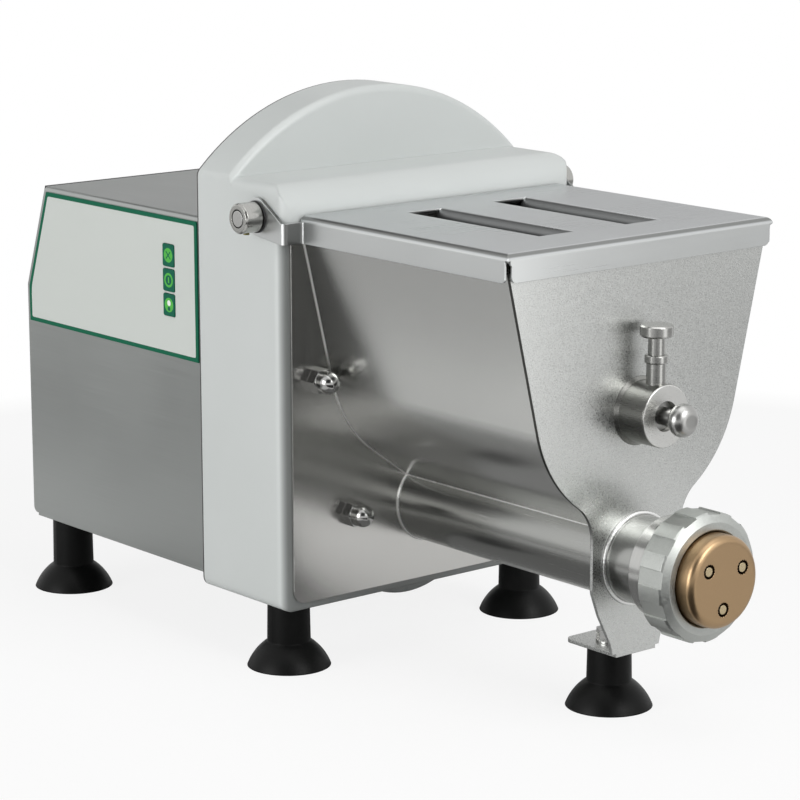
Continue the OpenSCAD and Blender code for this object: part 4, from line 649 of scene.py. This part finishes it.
# %% Panel film
PANEL_LOW, PANEL_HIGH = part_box("control_panel")
CASING_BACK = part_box("rear_casing")[1][1]
KNEE_Z = 190 * MM  # above it the casing's back leans forwards
SLOPE = math.atan2(22, 62.5)  # 22 mm forwards over 62.5 mm of height
MARGIN = 3 * MM  # from the leaning back to the panel
LINE_WIDTH, LINE_CORNER = 2.5 * MM, 2 * MM
FIELD, LINE = (0.61, 0.64, 0.61), (0.0, 0.115, 0.058)


def panel_film():
    """Pale film with a green line where the distance to the nearest edge is less than the line's width.

    The distance to an upright or level edge is a difference in y or z, and to the leaning edge
    (back - y) cos(slope) + (knee - z) sin(slope) - margin.
    """
    made, tree, shader = material("panel_film", FIELD, rough=0.5, edge=0.3, Specular_IOR_Level=0.15)
    _, y, z = split_axes(tree, "Object")
    across = maths(tree, "MULTIPLY", maths(tree, "SUBTRACT", CASING_BACK, y), math.cos(SLOPE))
    rise = maths(tree, "MULTIPLY", maths(tree, "SUBTRACT", KNEE_Z, z), math.sin(SLOPE))
    nearest = maths(tree, "SUBTRACT", y, PANEL_LOW.y)
    for edge in (maths(tree, "SUBTRACT", PANEL_HIGH.y, y), maths(tree, "SUBTRACT", z, PANEL_LOW.z),
                 maths(tree, "SUBTRACT", PANEL_HIGH.z, z),
                 maths(tree, "SUBTRACT", maths(tree, "ADD", across, rise), MARGIN)):
        nearest = maths(tree, "SMOOTH_MIN", nearest, edge, LINE_CORNER)
    lay_over(tree, shader, maths(tree, "LESS_THAN", nearest, LINE_WIDTH), LINE)
    return made


PANEL = panel_film()
print("made", PANEL.name)

# %% [markdown]
# ## Which piece gets which finish
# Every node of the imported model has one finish, because two finishes that touch were made separate solids.
# So no face has to be picked by hand, and a table is enough. The list of nodes that are left without a
# finish is printed, and should be empty.

# %% Give each node its finish
FINISHES = {
    ENAMEL: ["tower_housing"],
    CASING: ["rear_casing", "base_tray"],
    COVER_PAINT: ["rear_cover"],
    PANEL: ["control_panel"],
    POLISHED_PLATE: ["hopper_back_plate"],
    TROUGH: ["hopper_side_left", "hopper_side_right"],
    TUBE: ["barrel"],
    LID: ["lid"],
    FRONT_PLATE: ["hopper_front_plate"],
    CAST: ["ring_nut"],
    TURNED: ["barrel_collar", "hinge_shaft", "auger_core", "auger_flight", "mixer", "shaft_bearings"],
    BOSS: ["pin_boss"],
    BALL: ["pivot_pin"],
    KNOB: ["hinge_knobs"],
    PULL: ["plunger", "plunger_sleeve"],
    MIRRORED: ["acorn_nuts", "foot_hardware"],
    BRONZE: ["die", "hinge_bushes"],
    BRASS: ["die_inserts"],
    DARK_BRASS: ["knob_screws"],
    RUBBER: ["front_feet", "rear_feet", "hopper_foot", "shaft_seals"],
    BLACK_PLASTIC: ["knob_washers", "lid_switch", "key_switches", "power_inlet"],
    BOARD: ["control_board"],
    ZINC: ["hopper_studs", "plunger_spring", "plate_pillars", "capacitor", "capacitor_strap", "casing_screws",
           "foot_studs"],
    OILED: ["auger_drive", "mixer_drive", "auger_gear", "mixer_gear", "pinion"],
    CAST_IRON: ["bearing_housing", "gear_plate", "gearhead"],
    MOTOR_PAINT: ["motor"],
    **{film: [name] for name, film in KEYS.items()},
}
for finish, names in FINISHES.items():
    for name in names:
        NODES[name].data.materials.clear()
        NODES[name].data.materials.append(finish)
print("nodes without a finish:", sorted(set(NODES) - {name for names in FINISHES.values() for name in names}))

# %% [markdown]
# ## Weld beads
# The hopper is welded from sheet and tube: along the sheets' rear edges to the back plate, round the barrel
# and the pin boss at the front plate, and along the seam between sheet and barrel. A TIG weld is a row of
# small overlapping puddles. A bevelled curve would give an even wire. Here each bead is a thin tube swept
# along its path with numpy, and its radius rises and falls once a puddle, so it glints in dots.

# %% Sweep a bead
PUDDLE_LOW, PUDDLE_SWELL = 0.82, 0.18  # of the radius
STEPS_A_PUDDLE, FEWEST_STEPS, SIDES = 3, 8, 8


def sweep(points, radius, puddle, closed, sides=SIDES):
    """The points, faces and length of a bead along a path, in millimetres.

    P(u, v) = C(u) + r(u) (N(u) cos v + B(u) sin v), with r(u) = radius (low + swell |sin(pi s(u) / puddle)|),
    where C is the path, s its length, and N and B are at right angles to it.
    """
    points = np.asarray(points, float)
    ends = np.vstack([points, points[:1]]) if closed else points
    length = np.r_[0, np.cumsum(np.linalg.norm(np.diff(ends, axis=0), axis=1))]
    n = max(FEWEST_STEPS, int(length[-1] / (puddle / STEPS_A_PUDDLE)))
    s = np.linspace(0, length[-1], n, endpoint=not closed)
    centre = np.stack([np.interp(s, length, ends[:, k]) for k in range(3)], 1)
    if closed:
        tangent = np.roll(centre, -1, 0) - np.roll(centre, 1, 0)
    else:
        tangent = np.gradient(centre, axis=0)
    tangent /= np.linalg.norm(tangent, axis=1, keepdims=True)
    runs_along_y = abs(tangent[:, 1]).max() >= 0.9
    normal = np.cross(tangent, (0.0, 0.0, 1.0) if runs_along_y else (0.0, 1.0, 0.0))
    normal /= np.linalg.norm(normal, axis=1, keepdims=True)
    binormal = np.cross(tangent, normal)
    r = radius * (PUDDLE_LOW + PUDDLE_SWELL * np.abs(np.sin(math.pi * s / puddle)))
    v = np.linspace(0, 2 * math.pi, sides, endpoint=False)
    ring = normal[:, None] * np.cos(v)[None, :, None] + binormal[:, None] * np.sin(v)[None, :, None]
    verts = (centre[:, None] + r[:, None, None] * ring).reshape(-1, 3)
    i = np.arange(n if closed else n - 1)[:, None]
    j = np.arange(sides)[None, :]
    a, b = i * sides + j, i * sides + (j + 1) % sides
    c, d = ((i + 1) % n) * sides + (j + 1) % sides, ((i + 1) % n) * sides + j
    faces = np.stack([a, b, c, d], -1).reshape(-1, 4).tolist()
    if not closed:
        faces += [list(range(sides))[::-1], [(n - 1) * sides + k for k in range(sides)]]
    return verts, faces, length[-1]


# %% Make it a piece
def bead(name, points, radius, puddle, closed=False, body="frame"):
    """A weld bead along points (mm) as a piece of the hopper."""
    verts, faces, length = sweep(points, radius, puddle, closed)
    mesh = bpy.data.meshes.new(name)
    mesh.from_pydata((verts * MM).tolist(), [], faces)
    mesh.polygons.foreach_set("use_smooth", [True] * len(mesh.polygons))
    mesh.materials.append(WELD)
    piece = bpy.data.objects.new(name, mesh)
    bpy.context.scene.collection.objects.link(piece)
    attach(piece, body)
    print(name, len(verts), "points,", round(float(length), 1), "mm long")


# %% Beads round the barrel and the boss
AUGER_Z, MIXER_Z = 87.0, 168.0  # mm, as everything here
PLATE_Y, FACE_Y = (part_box(name)[0].y / MM for name in ("hopper_back_plate", "hopper_front_plate"))
BARREL_R, BOSS_R = 24.0, 17.0
BARREL_OUT, BARREL_OFF = 0.7, 0.6  # from a tube's outside and from the plate to the middle of the bead
BOSS_OUT, BOSS_OFF = 0.2, 0.2


def ring_path(radius, y, z, start=0.0, end=360.0, count=180):
    """Points (radius cos t, y, z + radius sin t); the angles t are from +X towards +Z, in degrees."""
    t = np.radians(np.linspace(start, end, count, endpoint=end - start < 360))
    return np.stack([radius * np.cos(t), np.full(count, y), z + radius * np.sin(t)], 1)


WELD = rolled_steel("weld_metal", (0.86, 0.86, 0.85), rough=0.3, stretch=EVENLY, scale=1800.0, depth=0.01)
round_barrel = ring_path(BARREL_R + BARREL_OUT, FACE_Y - BARREL_OFF, AUGER_Z)
bead("barrel_weld", round_barrel, radius=1.3, puddle=2.2, closed=True)
round_boss = ring_path(BOSS_R + BOSS_OUT, FACE_Y - BOSS_OFF, MIXER_Z)
bead("boss_weld", round_boss, radius=0.9, puddle=2.0, closed=True)

# %% [markdown]
# ## Where the trough's beads run
# The trough's section is a round bottom arc between leaning sides and a straight piece down to the barrel.
# The straight piece's end is where its line z = apex + x tan(vee) meets the barrel's circle: one
# quadratic equation gives the x, and the seams and the rear beads all start from that point.

# %% Beads along the trough
TROUGH_R, TROUGH_Z = 72.8, MIXER_Z + 13.4  # the arc and its middle
LEAN, VEE = math.radians(13.5), math.radians(36.0)  # of the trough's sides and of its straight bottom
RIM_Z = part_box("hopper_side_left")[1].z / MM
SEAM_RADIUS, SEAM_PUDDLE, SEAM_POINTS = 0.5, 1.6, 60
REAR_OUT, REAR_OFF, REAR_RADIUS = 0.2, 0.4, 0.6  # the beads at the back plate
SEAM_FRONT, SEAM_BACK = 2.0, 0.5  # the seam's ends keep off the front plate and the back plate

apex = TROUGH_Z - TROUGH_R / math.cos(VEE) - AUGER_Z
slope = math.tan(VEE)
seam_x = (-apex * slope + math.sqrt((1 + slope ** 2) * BARREL_R ** 2 - apex ** 2)) / (1 + slope ** 2)
seam_z = AUGER_Z + apex + seam_x * slope
arc = np.radians(np.linspace(180 + math.degrees(LEAN), 270 - math.degrees(VEE), SEAM_POINTS))
lean_x = TROUGH_R * math.cos(LEAN) + (RIM_Z - TROUGH_Z + TROUGH_R * math.sin(LEAN)) * math.tan(LEAN)
bottom = zip(TROUGH_R * np.cos(arc), TROUGH_Z + TROUGH_R * np.sin(arc))
section = [(-lean_x, RIM_Z), *bottom, (-seam_x, seam_z)]
for side, hand in ((-1, "left"), (1, "right")):
    path = [(-side * x, PLATE_Y - REAR_OFF, z) for x, z in section]
    bead(f"trough_weld_{hand}", path, SEAM_RADIUS, SEAM_PUDDLE)
    seam_y = np.linspace(FACE_Y + SEAM_FRONT, PLATE_Y - SEAM_BACK, SEAM_POINTS)
    bead(f"seam_weld_{hand}", [(side * seam_x, y, seam_z) for y in seam_y], SEAM_RADIUS, SEAM_PUDDLE)
angle = math.degrees(math.atan2(seam_z - AUGER_Z, seam_x))
under_barrel = ring_path(BARREL_R + REAR_OUT, PLATE_Y - REAR_OFF, AUGER_Z, start=-180 - angle, end=angle)
bead("barrel_rear_weld", under_barrel, REAR_RADIUS, SEAM_PUDDLE)

# %% [markdown]
# ## The floor and the white background
# The machine stands on a pale floor that keeps its shadow and runs out into white. More light would bleach
# the object too. Instead the floor's material turns into plain white with the distance from the object, but
# only for the camera and in mirror images. The light that the floor throws back stays as it is. The world
# round it does the same: it is seen as white, and lights the object with a third of that.

# %% Floor
FLOOR_HALF = 6.0
FLOOR_GREY = (0.88, 0.88, 0.88)
SHADOW_REACH = (0.30, 0.75)  # metres from the middle, where the floor begins and ends to turn white
CAMERA_LIFT = 0.85  # how white the camera sees the floor even near the object


def seen_rays(tree):
    """Two masks: 1 for rays that are looked along (camera, mirror or glass), and 1 for camera rays alone."""
    path = add(tree, "ShaderNodeLightPath")
    from_camera = path.outputs["Is Camera Ray"]
    mirrored = maths(tree, "MAXIMUM", from_camera, path.outputs["Is Glossy Ray"])
    return maths(tree, "MAXIMUM", mirrored, path.outputs["Is Transmission Ray"]), from_camera


def white_floor():
    """A pale floor that keeps the shadow near the object and runs into white further out."""
    made, tree, shader = bare_material("floor_white")
    for label, value in (("Base Color", (*FLOOR_GREY, 1.0)), ("Roughness", 0.9), ("Specular IOR Level", 0.1)):
        wire(tree, value, shader.inputs[label])
    distance = add(tree, "ShaderNodeVectorMath", operation="LENGTH")
    wire(tree, coordinates(tree, "Object"), distance.inputs[0])
    seen, from_camera = seen_rays(tree)
    lifted = maths(tree, "MULTIPLY", from_camera, CAMERA_LIFT)
    away = maths(tree, "MAXIMUM", ramp(tree, distance.outputs["Value"], *SHADOW_REACH), lifted)
    blend = add(tree, "ShaderNodeMixShader")
    wire(tree, product(tree, away, seen), blend.inputs[0])
    wire(tree, shader.outputs[0], blend.inputs[1])
    wire(tree, add(tree, "ShaderNodeEmission").outputs[0], blend.inputs[2])
    wire(tree, blend.outputs[0], tree.nodes["Material Output"].inputs["Surface"])
    return made


def stage_plane(name, corners, finish):
    """A flat stage piece from its corners, in metres."""
    mesh = bpy.data.meshes.new(name)
    mesh.from_pydata([tuple(c) for c in corners], [], [tuple(range(len(corners)))])
    mesh.materials.append(finish)
    piece = bpy.data.objects.new(name, mesh)
    bpy.context.scene.collection.objects.link(piece)
    return piece


stage_plane("floor", np.array([[-1, -1, 0], [1, -1, 0], [1, 1, 0], [-1, 1, 0]]) * FLOOR_HALF, white_floor())
print("floor", 2 * FLOOR_HALF, "m wide")

# %% World
WORLD_LIGHT, WORLD_SEEN = 0.32, 1.0  # what lights the object, and what camera and mirrors see

world = bpy.data.worlds.new("studio")
bpy.context.scene.world = world
world.use_nodes = True
surroundings = world.node_tree.nodes["Background"]
surroundings.inputs["Color"].default_value = (1.0, 1.0, 1.0, 1.0)
strength = ramp(world.node_tree, seen_rays(world.node_tree)[0], 0.0, 1.0, WORLD_LIGHT, WORLD_SEEN)
wire(world.node_tree, strength, surroundings.inputs["Strength"])
print("world lights with", WORLD_LIGHT, "and is seen with", WORLD_SEEN)

# %% [markdown]
# ## Grey cards
# Polished metal has no look of its own: it shows what stands round it, and in an all-white room it would turn
# white. A studio has grey and black cards just outside the frame for this. Here two stand in front, two at
# the back, and four lie on the floor. Only mirror images see them, so they throw no shadow.


# %% Grey cards
AIM = Vector((0, -0.05, 0.15))  # the hopper, where cards and lamps look
CARD_LIFT = 0.5 * MM  # above the floor


def card(name, corners, level):
    """A grey card that only reflections see."""
    made, tree, shader = bare_material(name)
    tree.nodes.remove(shader)
    grey = add(tree, "ShaderNodeEmission")
    wire(tree, level, grey.inputs["Strength"])
    wire(tree, grey.outputs[0], tree.nodes["Material Output"].inputs["Surface"])
    piece = stage_plane(name, corners, made)
    piece.visible_camera = piece.visible_diffuse = piece.visible_shadow = piece.visible_transmission = False
    print(name, "level", level)


def facing_card(name, azimuth, elevation, distance, width, height, level):
    """A card that faces the hopper from a direction."""
    way = direction(azimuth, elevation)
    across = Vector((0, 0, 1)).cross(way).normalized()
    upward = way.cross(across)
    middle = AIM + way * distance
    card(name, [middle + across * x * width / 2 + upward * y * height / 2
                for x, y in ((-1, -1), (1, -1), (1, 1), (-1, 1))], level)


def floor_card(name, x, y, level):
    """A card that lies on the floor over a range in X and one in Y."""
    corners = (x[0], y[0]), (x[1], y[0]), (x[1], y[1]), (x[0], y[1])
    card(name, [(*corner, CARD_LIFT) for corner in corners], level)


facing_card("card_behind_camera", azimuth=-48, elevation=28, distance=1.3, width=1.0, height=0.9, level=0.06)
facing_card("card_back_right", azimuth=140, elevation=14, distance=1.6, width=1.4, height=0.7, level=0.55)
floor_card("card_under", x=(-0.20, 0.02), y=(-0.16, 0.25), level=0.22)
floor_card("card_front_left", x=(-0.85, -0.02), y=(-1.2, -0.22), level=0.045)
floor_card("card_left", x=(-1.4, -0.28), y=(0.10, 1.4), level=0.42)
floor_card("card_right", x=(0.40, 1.5), y=(-1.5, -0.30), level=0.45)
facing_card("card_above_back", azimuth=172, elevation=40, distance=1.5, width=1.0, height=0.55, level=0.10)
facing_card("card_front_near", azimuth=11, elevation=3, distance=0.40, width=0.11, height=0.16, level=1.7)

# %% [markdown]
# ## Lights
# Three large square lamps give soft shadows: a weak one overhead, and stronger ones in front and on the left,
# which light the hopper and the key panel. Small lamps would leave hard spots on the rounded steel.


# %% Lights
def soft_light(name, azimuth, elevation, distance, size, watts):
    """A square area light that looks at the hopper from a given direction."""
    data = bpy.data.lights.new(name, "AREA")
    data.energy = watts
    data.size = size
    light = bpy.data.objects.new(name, data)
    way = direction(azimuth, elevation)
    turn = way.to_track_quat("Z", "Y").to_matrix().to_4x4()
    light.matrix_world = Matrix.Translation(AIM + way * distance) @ turn
    bpy.context.scene.collection.objects.link(light)
    print(name, watts, "W")


soft_light("overhead", azimuth=10, elevation=78, distance=1.8, size=1.4, watts=8)
soft_light("front", azimuth=6, elevation=32, distance=2.2, size=1.1, watts=23)
soft_light("side_left", azimuth=-96, elevation=10, distance=2.2, size=1.2, watts=21)

bpy.context.scene.view_settings.view_transform = "Standard"
